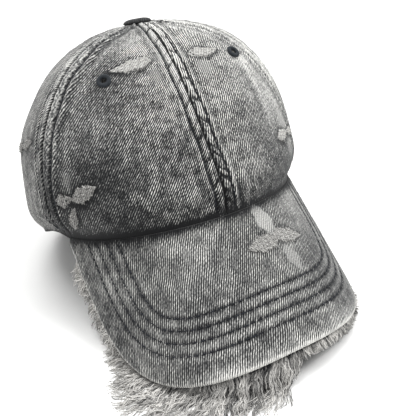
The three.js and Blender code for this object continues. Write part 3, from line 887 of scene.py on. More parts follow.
def place_mesh(name: str, mesh: bpy.types.Mesh, *materials: Material) -> Object:
    """Put a mesh in the scene as a smooth-shaded object.

    Args:
        name: name of the object.
        mesh: its mesh.
        materials: its materials, in the order of the faces' numbers.

    Returns:
        The object.
    """
    mesh.shade_smooth()
    for material in materials:
        mesh.materials.append(material)
    obj = bpy.data.objects.new(name, mesh)
    bpy.context.scene.collection.objects.link(obj)
    return obj


def to_object(name: str, bm: bmesh.types.BMesh, *materials: Material) -> Object:
    """Turn a bmesh to a smooth-shaded object in the scene.

    Args:
        name: name of the object.
        bm: the bmesh, which is freed.
        materials: its materials, in the order of the faces' numbers.

    Returns:
        The object.
    """
    mesh = bpy.data.meshes.new(name)
    bm.to_mesh(mesh)
    bm.free()
    return place_mesh(name, mesh, *materials)


def toned_object(
    name: str, points: Array, faces: list[list[int]], tones: Array, material: Material
) -> Object:
    """Make an object from points and faces, with a tone for each point.

    Args:
        name: name of the object.
        points: points in metres.
        faces: point numbers of each face.
        tones: tone of each point.
        material: its material.

    Returns:
        The object.
    """
    mesh = bpy.data.meshes.new(name)
    mesh.from_pydata(points.tolist(), [], faces)
    layer = mesh.attributes.new("tone", "FLOAT", "POINT")
    layer.data.foreach_set("value", tones.astype(np.float32))
    return place_mesh(name, mesh, material)


def cloth_grid(
    points: Array,
    cloth: Array,
    tone: Array,
    petal: Array | None = None,
    worn: Array | None = None,
) -> bmesh.types.BMesh:
    """Make a grid sheet through points, with its cloth attributes.

    Args:
        points: columns by rows of points in metres.
        cloth: columns by rows of cloth places in mm.
        tone: brightness added to the cloth's colour at each point, painted shade and light included.
        petal: share of matted patch at each point.
        worn: share of the twill that is rubbed away.

    Returns:
        The sheet as an open bmesh.
    """
    columns, rows = points.shape[:2]
    bm = bmesh.new()
    bmesh.ops.create_grid(bm, x_segments=columns - 1, y_segments=rows - 1, size=0.5)
    place = bm.verts.layers.float_vector.new("cloth")
    shade = bm.verts.layers.float.new("tone")
    patch = bm.verts.layers.float.new("petal")
    rubbed = bm.verts.layers.float.new("worn")
    for vert in bm.verts:
        i = round((vert.co.x + 0.5) * (columns - 1))
        j = round((vert.co.y + 0.5) * (rows - 1))
        vert.co = points[i, j]
        vert[place] = (cloth[i, j, 0], cloth[i, j, 1], 0.0)
        vert[shade] = tone[i, j]
        vert[patch] = 0.0 if petal is None else petal[i, j]
        vert[rubbed] = 0.0 if worn is None else worn[i, j]
    return bm


def thicken(bm: bmesh.types.BMesh, wall: float, centre: Vector) -> None:
    """Give an open sheet a wall on its inner side.

    Args:
        bm: the sheet.
        wall: thickness in metres.
        centre: a point on the inner side.
    """
    bmesh.ops.recalc_face_normals(bm, faces=bm.faces)
    facing = sum((face.calc_center_median() - centre).dot(face.normal) for face in bm.faces)
    if facing < 0:
        bmesh.ops.reverse_faces(bm, faces=bm.faces)
    bmesh.ops.solidify(bm, geom=bm.faces, thickness=wall)
    bmesh.ops.recalc_face_normals(bm, faces=bm.faces)
    for face in bm.faces:
        if (face.calc_center_median() - centre).dot(face.normal) < 0:
            face.material_index = 1


@dataclass(frozen=True)
class Petal:
    """A leaf-shaped worn patch: its middle, way, size in mm, and whether it stands proud."""

    x: float
    y: float
    way_deg: float
    length: float
    width: float
    raised: bool
    tone: float = 0.0

    def local(self, x: Array, y: Array) -> Pair:
        """Coordinates along and across the leaf.

        Args:
            x: place across the flower.
            y: place up the flower.

        Returns:
            Place along and across.
        """
        turn = math.radians(self.way_deg)
        dx, dy = x - self.x, y - self.y
        return dx * math.cos(turn) + dy * math.sin(turn), -dx * math.sin(turn) + dy * math.cos(turn)

    def half_width(self, along: Array) -> Array:
        """Half the leaf's width at a place along it.

        Args:
            along: place from the leaf's middle.

        Returns:
            Half width in mm.
        """
        share = np.clip(along / self.length + 0.5, 0, 1)
        uneven = 1 + 0.1 * np.sin(share * 17 + self.x) + 0.07 * np.sin(share * 31 + self.y)
        return 0.5 * self.width * np.sin(math.pi * share**0.85) ** 0.92 * uneven

    def mask(self, x: Array, y: Array, grown: float = 0.0) -> Array:
        """Share of patch at places of the cloth, with the leaf grown by some mm.

        Args:
            x: place across the flower.
            y: place up the flower.
            grown: how much wider the leaf is taken.

        Returns:
            Share from 0 to 1.
        """
        along, across = self.local(x, y)
        inside = smooth((self.half_width(along) + grown - np.abs(across)) / 1.3 + 0.5)
        return inside * (np.abs(along) < self.length / 2 + 0.8 * grown)


@dataclass(frozen=True)
class Flower:
    """Four-petal worn cross on the crown or the visor: anchor and petals."""

    at: float
    up: float
    petals: tuple[Petal, ...]


REGULAR_PETALS = (
    Petal(9.0, 0.5, 5, 16, 7.5, True, 0.03),
    Petal(-9.0, 0.5, 175, 16, 7.5, True, 0.03),
    Petal(0.0, 9.0, 90, 12, 6, False, 0.05),
    Petal(0.0, -9.0, 90, 12, 6, False, 0.05),
)
CROWN_FLOWERS = (
    Flower(-18, 54.5, (
        Petal(-9.0, 2.2, 176, 22, 10.0, True, 0.19),
        Petal(5.5, 2.5, 5, 13, 6, False, 0.08),
        Petal(2.0, -9.5, 98, 13, 7.0, False, 0.03),
    )),
    Flower(17, 55, (
        Petal(6.0, 0.2, 10, 18, 8.6, True, 0.22),
        Petal(-5.5, -0.5, 5, 9, 6, False, 0.08),
        Petal(1.5, -11.0, 88, 12, 8.0, False, 0.08),
    )),
    Flower(-56, 11.2, (
        Petal(8.6, 2.6, 20, 17.5, 10.0, True, 0.0),
        Petal(-5.4, -1.0, 17, 13.5, 8.5, True, -0.02),
        Petal(-1.4, -11.4, 66, 16.5, 7.4, True, -0.03),
        Petal(-1.0, 9.5, 96, 13, 5.5, False, 0.08),
    )),
    Flower(46, 14.5, (
        Petal(-5.0, 1.0, 8, 15, 7.5, True, 0.22),
        Petal(8.5, 0.5, 175, 13, 6, True, 0.18),
        Petal(1.5, -9.0, 84, 13, 7, False, 0.10),
        Petal(1.0, 10.0, 90, 12, 6, False, 0.05),
    )),
    Flower(-84, 25, (
        Petal(8.0, 0.5, 5, 15, 7, True, 0.02),
        Petal(-8.0, 0.5, 175, 14, 7, True, 0.02),
        Petal(0.0, 9.0, 90, 12, 6, False, 0.05),
        Petal(0.0, -9.0, 90, 12, 6, False, 0.05),
    )),
    Flower(97, 24, REGULAR_PETALS),
    Flower(-150, 26, REGULAR_PETALS),
)
VISOR_FLOWER = Flower(20.0, 20.0, (
    Petal(-8.5, 2.6, 176, 22, 11.5, True, 0.04),
    Petal(9.5, 1.2, 10, 23, 10.5, True, 0.06),
    Petal(-0.5, -9.5, 78, 24, 10.5, False, 0.26),
    Petal(5.5, 14.5, 78, 17, 8.5, False, 0.16),
))


def petal_mask(x: Array, y: Array, petals: tuple[Petal, ...], raised: bool, grown: float = 0.0) -> Array:
    """Strongest share of patch among the petals that are or aren't raised."""
    masks = [petal.mask(x, y, grown) for petal in petals if petal.raised == raised]
    return np.maximum.reduce(masks) if masks else np.zeros(x.shape)


def petal_tone(x: Array, y: Array, petals: tuple[Petal, ...]) -> Array:
    """Tone that the flat petals add to the cloth.

    Args:
        x: place across the flower.
        y: place up the flower.
        petals: petals of the flower.

    Returns:
        Tone at each place.
    """
    tone = np.zeros(x.shape)
    for petal in petals:
        if not petal.raised:
            tone = np.maximum(tone, petal.tone * petal.mask(x, y))
    return tone


@dataclass(frozen=True)
class StainAndShade:
    """A darker or paler cloud on the crown, partly stains and partly painted light and shade: angle, arc,
    spreads in degrees, and the tone added.
    """

    at: float
    up: float
    wide: float
    tall: float
    tone: float


# stains together with painted light and shade: the paler clouds at the top and the right and the darker ones
# low at the front stand for light and shade
CROWN_STAINS_AND_SHADE = (
    StainAndShade(-40, 12, 22, 12, -0.14),
    StainAndShade(-12, 4, 26, 6, -0.14),
    StainAndShade(30, 3, 26, 5, -0.10),
    StainAndShade(-30, 62, 20, 12, 0.08),
    StainAndShade(22, 16, 10, 9, 0.05),
    StainAndShade(-14, 14, 9, 8, 0.04),
    StainAndShade(45, 40, 18, 20, 0.10),
    StainAndShade(52, 46, 15, 44, 0.20),
    StainAndShade(26, 74, 26, 14, 0.28),
    StainAndShade(-36, 66, 14, 8, 0.22),
    StainAndShade(60, 20, 10, 24, 0.08),
    StainAndShade(-62, 44, 10, 26, 0.12),
    StainAndShade(-2, 55, 5, 3, 0.26),
    StainAndShade(40, 36, 24, 22, 0.11),
    StainAndShade(-40, 44, 28, 20, -0.09),
    StainAndShade(-18, 18, 10, 9, -0.10),
    StainAndShade(-8, 20, 16, 10, -0.10),
    StainAndShade(120, 40, 30, 20, 0.05),
    StainAndShade(-120, 30, 30, 20, -0.04),
)


@dataclass(frozen=True)
class PanelGrid:
    """Grid of one panel: columns from its left to its right seam, rows from the lower edge to the top.

    Lengths are in mm, the angle is in radians and the arc in degrees.
    """

    node: str
    start_deg: float
    end_deg: float
    along: Array
    width: Array
    angle: Array
    arc: Array
    height: Array
    base: Array
    run: Array
    hem_rows: int
    wall_rows: int


@dataclass
class Crown:
    """The six cloth panels with their folded seams, hem and arch."""

    form: CapForm
    seam_half: float = 5.8
    wall: float = 1.6
    near: float = 10.0
    near_step: float = 0.45
    middle_columns: int = 32
    row_step: float = 1.1
    top_arc: float = 88.3
    hem_shares: tuple[float, ...] = (0.0, 0.3, 0.65)
    narrow: float = 15.0
    rope_front: float = 1.0
    rope_right: float = 0.05
    rope_plain: float = 0.35
    cloth_per_radian: float = 90.0
    front_left_cant: float = 9.0
    eyelet_opening: float = 2.2
    arch_half_width: float = 33.0
    arch_height: float = 44.0
    eyelets: tuple[tuple[str, float, float], ...] = (
        ("eyelet_front_left", -44.4, 48.6),
        ("eyelet_front_right", 44.4, 49.2),
        ("eyelet_back_left", -152, 52),
        ("eyelet_back_right", 152, 52),
    )
    seam_paths: list[Pair] = field(default_factory=list)
    cuts: dict[str, tuple[float, float, float]] = field(default_factory=dict)

    def metric(self, angle: Array, arc: Array) -> Array:
        """Millimetres round the crown for each radian.

        Args:
            angle: angle round the crown.
            arc: arc angle in degrees.

        Returns:
            Length of a radian at each place.
        """
        step = 0.01
        ahead = self.form.crown_base(angle + step, self.form.height_at_arc(angle + step, arc))
        behind = self.form.crown_base(angle - step, self.form.height_at_arc(angle - step, arc))
        return np.linalg.norm(ahead - behind, axis=-1) / (2 * step)

    def steepness(self, angle: Array, height: Array) -> float:
        """Millimetres up the cloth for each millimetre of height."""
        step = self.form.crown_base(angle, height + 1) - self.form.crown_base(angle, height)
        return float(np.linalg.norm(step))

    def arch_start(self, angle: Array) -> Array:
        """Arc where the cloth starts over the back arch, and 0 beside it.

        Args:
            angle: angle round the crown.

        Returns:
            Arc angle in degrees.
        """
        arc = np.full(angle.shape, 4.0)
        low = self.form.back_rim_height
        straight = low + self.arch_height - self.arch_half_width
        for _ in range(14):
            spot = self.form.crown_skin(angle, self.form.height_at_arc(angle, arc), np.array(self.wall / 2))
            inside = np.abs(spot[..., 0]) < self.arch_half_width
            top = straight + np.sqrt(np.maximum(self.arch_half_width**2 - spot[..., 0] ** 2, 0))
            height = np.where(inside & (spot[..., 1] > 0), top, low) - self.form.seam_line(angle)
            arc = 0.5 * arc + 0.5 * self.form.arc_of_height(angle, np.maximum(height, 0))
        return np.where(arc < 2.0, 0.0, arc)

    def seam_shape(self, gap: Array, run: Array, seed: float, roped: float) -> Pair:
        """Relief in mm and tone of the roped seam.

        Args:
            gap: distance from the seam in mm.
            run: distance along it in mm.
            seed: sets the puckers apart from the next seam's.
            roped: how strongly the strips pucker, 0 to 1.

        Returns:
            Relief and tone.
        """
        half = self.seam_half + 0.35 * np.sin(run * 0.21 + seed)
        crease = roped * creases(run + 0.9 * gap, seed)
        dimple = roped * creases(run * 1.3 - 0.5 * gap, seed + 4)
        strip = smooth((gap - 0.4) / 1.1) * smooth((half - 0.3 - gap) / 1.2)
        relief = strip * (0.75 + 0.6 * roped - 0.9 * crease - 0.3 * dimple) - 0.75 * bump(gap, 0, 0.6)
        relief -= 0.5 * bump(gap, half, 0.65)
        beat = ripple(run, seed + 2)
        relief += (0.35 + 0.35 * beat) * bump(gap, half + 2.0, 1.2) - 0.25 * bump(gap, half + 5.2, 1.8)
        relief += 0.45 * ripple(run * 0.4, seed + 7) * bump(gap, half + 8.8, 2.2)
        worn = smooth((run - 30) / 60)
        pale = (0.15 + 0.30 * worn) * (0.45 + 0.55 * roped) + 0.12 * (1 - roped) * min(1.0, 0.2 + 3 * roped)
        groove = 0.1 + 0.9 * roped
        tone = strip * (pale - 0.72 * crease - 0.22 * dimple) - 0.65 * groove * bump(gap, 0, 0.85)
        tone -= 0.60 * groove * bump(gap, half, 0.85)
        tone -= 0.40 * (1 - roped) * min(1.0, 3 * roped) * bump(gap, half * 0.5, 0.6)
        tone += (0.10 + 0.22 * beat) * (0.4 + 0.6 * roped) * bump(gap, half + 2.1, 1.0)
        tone -= 0.16 * bump(gap, half + 4.9, 1.6)
        tone += 0.12 * ripple(run * 0.4, seed + 7) * bump(gap, half + 8.8, 1.8)
        return relief, tone

    def near_places(self) -> Array:
        """Distances from a seam of the columns beside it."""
        return np.arange(0, self.near + 0.01, self.near_step)

    def columns(self, width: Array) -> Array:
        """Places across a panel: close together near both seams and wider between them.

        Args:
            width: width of the panel at each row.

        Returns:
            Distance from the left seam, as columns by rows.
        """
        squeeze = np.minimum(1, width / (2.4 * self.near))
        left = self.near_places()[:, None] * squeeze + self.form.piece_gap / 2
        middle = np.linspace(0, 1, self.middle_columns + 2)[1:-1]
        inner = left[-1] + (width - 2 * left[-1]) * middle[:, None]
        return np.concatenate([left, inner, width - left[::-1]])

    def lay_out(self, node: str, start_deg: float, end_deg: float) -> PanelGrid:
        """Lay out one panel's grid.

        Args:
            node: CAD node of the panel.
            start_deg: angle of its left seam.
            end_deg: angle of its right seam.

        Returns:
            The grid, on the crown's outer face.
        """
        form = self.form
        a, b = math.radians(start_deg), math.radians(end_deg)
        middle = np.array((a + b) / 2)
        fine = np.linspace(0, self.top_arc, 400)
        run = distances(form.crown_base(middle, form.height_at_arc(middle, fine)))
        wall_rows = int(run[-1] / self.row_step)
        arcs = np.interp(np.linspace(0, run[-1], wall_rows), run, fine)
        has_hem = form.drop_at(np.array(a)) > 0.5 or form.drop_at(np.array(b)) > 0.5
        hem = self.hem_shares if has_hem else ()
        width = (b - a) * self.metric(middle, arcs)
        width = np.concatenate([np.full(len(hem), width[0]), width])
        arcs = np.concatenate([np.zeros(len(hem)), arcs])
        along = self.columns(width)
        angle = a + (b - a) * along / width
        arc = np.broadcast_to(arcs, angle.shape).copy()
        height = form.height_at_arc(angle, arc)
        for row, share in enumerate(hem):
            height[:, row] = share * form.drop_at(angle[:, row])
        if "back" in node:
            start = self.arch_start(angle[:, len(arcs) // 6])[:, None]
            arc = start + (self.top_arc - start) * (arc / self.top_arc)
            height = form.height_at_arc(angle, arc)
        base = form.crown_skin(angle, height, np.zeros(angle.shape))
        places = (along, width, angle, arc, height, base, distances(base))
        return PanelGrid(node, start_deg, end_deg, *places, len(hem), wall_rows)

    def roped_at(self, seam_deg: float) -> float:
        """How strongly a seam's strips pucker: most at the front, hardly at all at the right side."""
        if abs(seam_deg) < 1:
            return self.rope_front
        return self.rope_right if seam_deg == self.form.right_seam_at else self.rope_plain

    def seams(self, grid: PanelGrid) -> tuple[Array, Array, Array]:
        """Shape the strips along both seams of a panel.

        Args:
            grid: the panel's grid.

        Returns:
            Relief in mm, tone, and the share of the strips that is rubbed flat.
        """
        shrink = np.minimum(1, grid.width / self.narrow)
        relief, tone, bare = (np.zeros(grid.angle.shape) for _ in range(3))
        sides = ((grid.start_deg, grid.along, 1.0), (grid.end_deg, grid.width - grid.along, 2.0))
        for seam_deg, distance, seed in sides:
            gap = distance / shrink
            roped = self.roped_at(seam_deg)
            strip, shade = self.seam_shape(gap, grid.run, seed + 3 * math.radians(seam_deg), roped)
            relief += strip
            tone += shade
            bare += (1 - roped) * smooth((7 - gap) / 1.5)
        return relief * shrink, tone, bare

    def wash_and_shade(self, grid: PanelGrid, above: Array) -> Array:
        """Tone of the crown's cloth, with painted shade: a painted shadow along the hem over the visor, a
        darker lower front, a fold at the right painted as a highlight beside a shadow, and the stains with
        their painted light and shade.

        Args:
            grid: the panel's grid.
            above: height above the visor or the lower edge.

        Returns:
            Tone of each point.
        """
        turn, arc = np.degrees(grid.angle), grid.arc
        # painted shadow along the hem, where the crown's bulge overhangs the visor; weaker towards the back
        # and the right
        hem = 0.95 * bump(above, 0, 2.0) + 0.13 * bump(above, 0, 11.0)
        hem *= 0.25 + 0.75 * smooth((1.35 - np.abs(grid.angle)) / 0.3)
        hem *= 1 - 0.55 * smooth((turn + 12) / 26)
        # the front is darker towards the bottom as painted shade
        tone = -hem - 0.13 * smooth((48 - arc) / 48) * smooth((100 - np.abs(turn)) / 40)
        # a fold at the right, painted as a pale highlight with a shadow beside it
        fold = turn - 31 - 0.30 * arc
        tone += (0.20 * bump(fold, 0, 1.6) - 0.10 * bump(fold, -4, 2.6)) * bump(arc, 36, 16)
        # stains and painted light and shade from the table
        for stain_and_shade in CROWN_STAINS_AND_SHADE:
            tone += stain_and_shade.tone * bump(turn, stain_and_shade.at, stain_and_shade.wide) * bump(arc, stain_and_shade.up, stain_and_shade.tall)
        return tone

    @staticmethod
    def rubbed(grid: PanelGrid) -> Array:
        """Share of the twill that is rubbed away, at the right, the top and the front left."""
        turn = np.degrees(grid.angle)
        worn = 0.7 * smooth((turn - 8) / 30) * (turn < 110) + 0.42 * smooth((grid.arc - 60) / 20)
        return worn + 0.62 * smooth((-turn - 22) / 22) * (grid.start_deg > -70)

    def flower_marks_and_shadows(self, grid: PanelGrid) -> Pair:
        """Mark the worn crosses of a panel, with a painted shadow round and below the raised petals.

        Args:
            grid: the panel's grid.

        Returns:
            Share of matted patch, and tone of each point with the painted shadow of the raised petals.
        """
        form = self.form
        matted, tone = np.zeros(grid.angle.shape), np.zeros(grid.angle.shape)
        for flower in CROWN_FLOWERS:
            if not grid.start_deg <= flower.at <= grid.end_deg:
                continue
            at, up = np.array(math.radians(flower.at)), np.array(flower.up)
            low = form.height_at_arc(at, up)
            x = (grid.angle - at) * self.metric(at, up)
            y = (grid.height - low) * self.steepness(at, low)
            matted = np.maximum(matted, 0.8 * petal_mask(x, y, flower.petals, False))
            # the cloth round and just below the raised petals is darkened as their painted shadow
            tone += petal_tone(x, y, flower.petals) - 0.34 * petal_mask(x, y + 0.5, flower.petals, True, 1.3)
        return matted, tone

    def cloth_places(self, grid: PanelGrid) -> Array:
        """Places in the cut cloth: the back is measured from the top, and the front left is canted.

        Args:
            grid: the panel's grid.

        Returns:
            Place across and up the cloth of each point.
        """
        middle = math.radians(grid.start_deg + grid.end_deg) / 2
        x = grid.along - grid.width / 2 + self.cloth_per_radian * middle
        y = grid.run - grid.run[:, -1:] if "back" in grid.node else grid.run
        cant = math.radians(self.front_left_cant if grid.node == "panel_front_left" else 0.0)
        turned = [x * math.cos(cant) - y * math.sin(cant), x * math.sin(cant) + y * math.cos(cant)]
        return np.stack(turned, -1)

    def note_cut(self, grid: PanelGrid) -> None:
        """Keep the flat size and area of a panel's cloth, in metres."""
        rise = grid.run[len(grid.run) // 2]
        area = float((0.5 * (grid.width[1:] + grid.width[:-1]) * np.diff(rise)).sum())
        self.cuts[grid.node] = (float(grid.width.max()) * MM, float(rise[-1]) * MM, area * MM * MM)

    def note_seams(self, grid: PanelGrid, placed: Array) -> None:
        """Keep the stitch paths along both seams, in the middle of each strip's outer edge.

        Args:
            grid: the panel's grid.
            placed: the points of the finished cloth in metres.
        """
        normals = grid_normals(placed)
        column = int(np.argmin(np.abs(self.near_places() + self.form.piece_gap / 2 - self.seam_half)))
        keep = slice(grid.hem_rows + 3, int(grid.wall_rows * 0.965))
        for index in (column, len(grid.along) - 1 - column):
            self.seam_paths.append((placed[index, keep], normals[index, keep]))

    def pierce(self, bm: bmesh.types.BMesh) -> None:
        """Open the cloth where an eyelet goes through it.

        Args:
            bm: the panel's open sheet.
        """
        for _, at, up in self.eyelets:
            angle = np.array(math.radians(at))
            height = self.form.height_at_arc(angle, np.array(up))
            hole = Vector(self.form.place(self.form.crown_skin(angle, height, np.array(0.0))))
            reach = self.eyelet_opening * MM
            gone = [face for face in bm.faces if (face.calc_center_median() - hole).length < reach]
            bmesh.ops.delete(bm, geom=gone, context="FACES")

    def panel(
        self, node: str, start_deg: float, end_deg: float, slot: Slot, cloth: Material, back: Material
    ) -> Object:
        """Build one panel between two seams.

        Args:
            node: CAD node that it stands for.
            start_deg: angle of its left seam.
            end_deg: angle of its right seam.
            slot: material slot.
            cloth: face of the cloth.
            back: reverse of the cloth.

        Returns:
            The panel.
        """
        form = self.form
        grid = self.lay_out(node, start_deg, end_deg)
        self.note_cut(grid)
        above = np.maximum(grid.height - form.drop_at(grid.angle), 0)
        free = 1 - bump(above, 0, 4.0)
        strips, seam_tone, bare = self.seams(grid)
        pucker = (ripple(np.degrees(grid.angle) * 0.9, 3.0) - 0.5) * bump(above, 6.0, 4.5)
        sway = 0.5 * np.sin(grid.angle * 9 + grid.run * 0.05) * np.sin(grid.run * 0.07 + grid.angle * 4)
        relief = (strips + 1.1 * pucker + 0.7 * sway) * free
        matted, petal_tone_and_shadow = self.flower_marks_and_shadows(grid)
        tone = seam_tone + 0.3 * pucker + self.wash_and_shade(grid, above) + petal_tone_and_shadow
        worn = np.clip(self.rubbed(grid) + 0.9 * bare, 0, 1)
        placed = form.place(grid.base + form.crown_normal(grid.angle, grid.height) * relief[..., None])
        placed[..., 2] = np.maximum(placed[..., 2], 0)
        bm = cloth_grid(placed, self.cloth_places(grid), tone, matted, worn)
        self.pierce(bm)
        thicken(bm, self.wall * MM, form.inside_point())
        self.note_seams(grid, placed)
        return show(to_object(node + "_cloth", bm, cloth, back), slot, node)

    def patches(self, material: Material) -> Object:
        """Build the raised petals on the crown.

        Args:
            material: matted cotton.

        Returns:
            The petals as one mesh.
        """
        whole = bmesh.new()
        form = self.form
        for flower in CROWN_FLOWERS:
            at, up = np.array(math.radians(flower.at)), np.array(flower.up)
            scale = float(self.metric(at, up))
            low = form.height_at_arc(at, up)
            rise = self.steepness(at, low)

            def skin(x: Array, y: Array, lift: Array) -> Array:
                """Point over the crown at a place of this flower."""
                return form.place(form.crown_skin(at + x / scale, low + y / rise, -lift))

            grow_patches(whole, flower, skin)
        return show(to_object("crown_petals", whole, material), Slot.CROWN_FRONT)


def grow_patches(whole: bmesh.types.BMesh, flower: Flower, skin: Callable[..., Array]) -> None:
    """Add the raised leaves of one flower to a mesh.

    Args:
        whole: mesh that collects the leaves.
        flower: the flower.
        skin: gives the point of the cloth's surface at x, y and a lift in mm.
    """
    s, t = np.meshgrid(np.linspace(-0.5, 0.5, 44), np.linspace(-1, 1, 22), indexing="ij")
    rim = smooth((1 - np.abs(t)) / 0.28) * smooth((0.5 - np.abs(s)) / 0.05)
    for petal in flower.petals:
        if not petal.raised:
            continue
        along = s * petal.length
        ragged = 1 + 0.10 * np.sin(s * 71 + petal.x) + 0.08 * np.sin(s * 133 + petal.y)
        across = t * petal.half_width(along) * ragged
        turn = math.radians(petal.way_deg)
        x = petal.x + along * math.cos(turn) - across * math.sin(turn)
        y = petal.y + along * math.sin(turn) + across * math.cos(turn)
        lift = -0.5 + rim * (1.25 + 0.22 * np.sin(x * 2.1 + y * 1.3) + 0.2 * np.sin(x * 0.9 - y * 2.7))
        # the leaf's edges are darkened as painted shade
        tone = petal.tone - 0.30 * (1 - rim) + 0.08 * np.sin(x * 0.9 + y * 1.4) * np.sin(y * 1.7 - x * 0.6)
        part = cloth_grid(skin(x, y, lift), np.stack([x, y], -1), tone)
        bmesh.ops.recalc_face_normals(part, faces=part.faces)
        mesh = bpy.data.meshes.new("leaf")
        part.to_mesh(mesh)
        part.free()
        whole.from_mesh(mesh)
        bpy.data.meshes.remove(mesh)


@dataclass
class Visor:
    """The stiff peak: cloth over a board, four thread rows and a worn rolled edge. Lengths in mm."""

    form: CapForm
    wall: float = 3.0
    columns: int = 420
    rows: int = 104
    end_share: float = 0.965
    under_rows: int = 26
    roll: float = 1.5
    edge_run: float = 300.0
    thread_sink: float = 0.35
    first_row: float = 14.6
    row_gap: float = 6.2
    row_count: int = 4
    row_paths: list[Pair] = field(default_factory=list)

    def sheet_places(self, share: Array) -> tuple[Array, Array, Array]:
        """Lay columns of places from the rim to the outline.

        Args:
            share: share of the way from the rim (0) to the outline (1).

        Returns:
            Places p and q of the sheet, and their distance from the rim.
        """
        u = np.linspace(-self.end_share, self.end_share, self.columns)[:, None]
        root_p, root_q = self.form.rim_root(u)
        spot, _ = self.form.edge_at(u[:, 0])
        p = root_p + (spot[:, None, 0] - root_p) * share
        q = root_q + (spot[:, None, 1] - root_q) * share
        return p, q, np.hypot(p - root_p, q - root_q)

    @staticmethod
    def bare(p: Array) -> Array:
        """Share of wear across the visor: none at the left and most at the right."""
        return smooth((p - 22) / 34)

    def sag(self, from_edge: Array) -> Array:
        """How far the rolled edge drops, by the distance from the outline."""
        outward = np.clip((self.roll - from_edge) / self.roll, 0, 1)
        return self.roll * (1 - np.sqrt(np.clip(1 - outward**2, 0, 1)))

    def row_shape(self, edge: Array, p: Array, free: Array) -> Pair:
        """Shape the grooves of the thread rows, which are weaker at the left.

        Args:
            edge: distance from the outline.
            p: place across the sheet.
            free: 0 at the rim and 1 a little way from it.

        Returns:
            Relief in mm and tone.
        """
        relief, tone = np.zeros(p.shape), np.zeros(p.shape)
        along = np.linspace(0, 1, self.columns)[:, None] * self.edge_run
        firm = 0.32 + 0.68 * smooth((p + 72) / 46)
        for row in range(self.row_count):
            gap = edge - self.first_row - row * self.row_gap
            hole = 0.5 + 0.5 * np.sin(along * (1 - 0.07 * row) * 1.55 + 0.9 * np.sin(along * 0.13 + row))
            relief -= ((0.35 + 0.5 * hole) * bump(gap, 0, 0.65) - 0.22 * bump(gap, 0, 2.6)) * free * firm
            tone -= (0.12 + 0.34 * hole) * bump(gap, 0, 0.8) * free * firm
            tone += (0.12 - 0.05 * hole) * bump(np.abs(gap), 2.6, 1.2) * free
        return relief, tone

    def wash_and_shade(self, p: Array, q: Array, edge: Array, from_rim: Array) -> Array:
        """Tone of the cloth: a bare edge, a painted shadow at the root under the crown, a darker left as
        painted shade and a rubbed right.

        Args:
            p: place across the sheet.
            q: place forward on the sheet.
            edge: distance from the outline.
            from_rim: distance from the rim.

        Returns:
            Tone of each point.
        """
        bare = self.bare(p)
        tone = (0.34 + 0.22 * ripple(p * 1.1 + q * 0.9, 0.4)) * smooth((2.0 - edge) / 1.2)
        tone += 0.24 * smooth((10 - edge) / 10) * smooth((p + 80) / 40)
        # the left is darkened as painted shade, and a band about 26 mm in from the edge is darker
        tone -= 0.08 * smooth((-p - 25) / 40) + 0.08 * bump(edge, 26, 15)
        # painted shadow at the root of the visor under the crown, narrowed by the paler band on the next line
        tone -= 0.50 * bump(from_rim, 0, 2.6) + 0.10 * bump(from_rim, 0, 14.0)
        tone += 0.11 * bump(from_rim, 8.0, 6.0)
        tone += 0.12 * bare * smooth((52 - q) / 40) - 0.07 * bare * bump(q, 58, 22)
        return tone

    def build(self, cloth: Material) -> Object:
        """Build the covered peak.

        Args:
            cloth: visor denim.

        Returns:
            The visor.
        """
        form = self.form
        p, q, from_rim = self.sheet_places(np.linspace(0, 1, self.rows)[None, :] ** 0.97)
        outline = from_rim[:, -1:]
        near_edge = np.maximum(outline - from_rim, 0)
        edge = np.minimum(form.inset_of(p, q), near_edge)
        free = smooth(from_rim / 3.5)
        relief, tone = self.row_shape(edge, p, free)
        relief += 0.35 * (ripple(p * 0.5 + q * 0.3, 1.7) - 0.5) * free * bump(edge, 12, 16)
        relief += 0.3 * np.sin(p * 0.11 + 1.2) * bump(edge, 8, 9) * free
        x, y = p - VISOR_FLOWER.at, q - VISOR_FLOWER.up
        tone += self.wash_and_shade(p, q, edge, from_rim) + petal_tone(x, y, VISOR_FLOWER.petals)
        # painted shadow round and below the raised petals
        tone -= 0.10 * petal_mask(x, y + 0.5, VISOR_FLOWER.petals, True, 1.2)
        matted = 0.85 * petal_mask(x, y, VISOR_FLOWER.petals, False)
        worn = 0.63 * self.bare(p)
        top = form.visor_point(p, q) + form.visor_normal(p) * (relief - self.sag(near_edge))[..., None]
        low_share = 1 - np.linspace(0, 1, self.under_rows)[None, :] ** 1.3
        low_p, low_q, low_rim = self.sheet_places(low_share)
        low_sag = self.sag(np.maximum(outline - low_rim, 0))
        under = form.visor_under(low_p, low_q, low_rim, self.wall - low_sag)
        points = form.place(np.concatenate([top, under[:, 1:]], axis=1))
        low_places = np.stack([low_p, -low_q + 2 * low_q[:, :1]], -1)
        places = np.concatenate([np.stack([p, q], -1), low_places[:, 1:]], axis=1)
        plain = np.zeros(low_p[:, 1:].shape)
        shades = (np.concatenate([layer, plain], axis=1) for layer in (tone, matted, worn))
        bm = cloth_grid(points, places, *shades)
        ends = [vert for vert in bm.verts if vert.is_boundary]
        bmesh.ops.remove_doubles(bm, verts=ends, dist=0.02 * MM)
        bmesh.ops.bridge_loops(bm, edges=self.rim_edges(bm, points))
        bmesh.ops.holes_fill(bm, edges=[edge for edge in bm.edges if edge.is_boundary], sides=0)
        bmesh.ops.recalc_face_normals(bm, faces=bm.faces)
        self.note_rows(edge, p, q)
        return show(to_object("visor_cover", bm, cloth), Slot.VISOR, "visor")

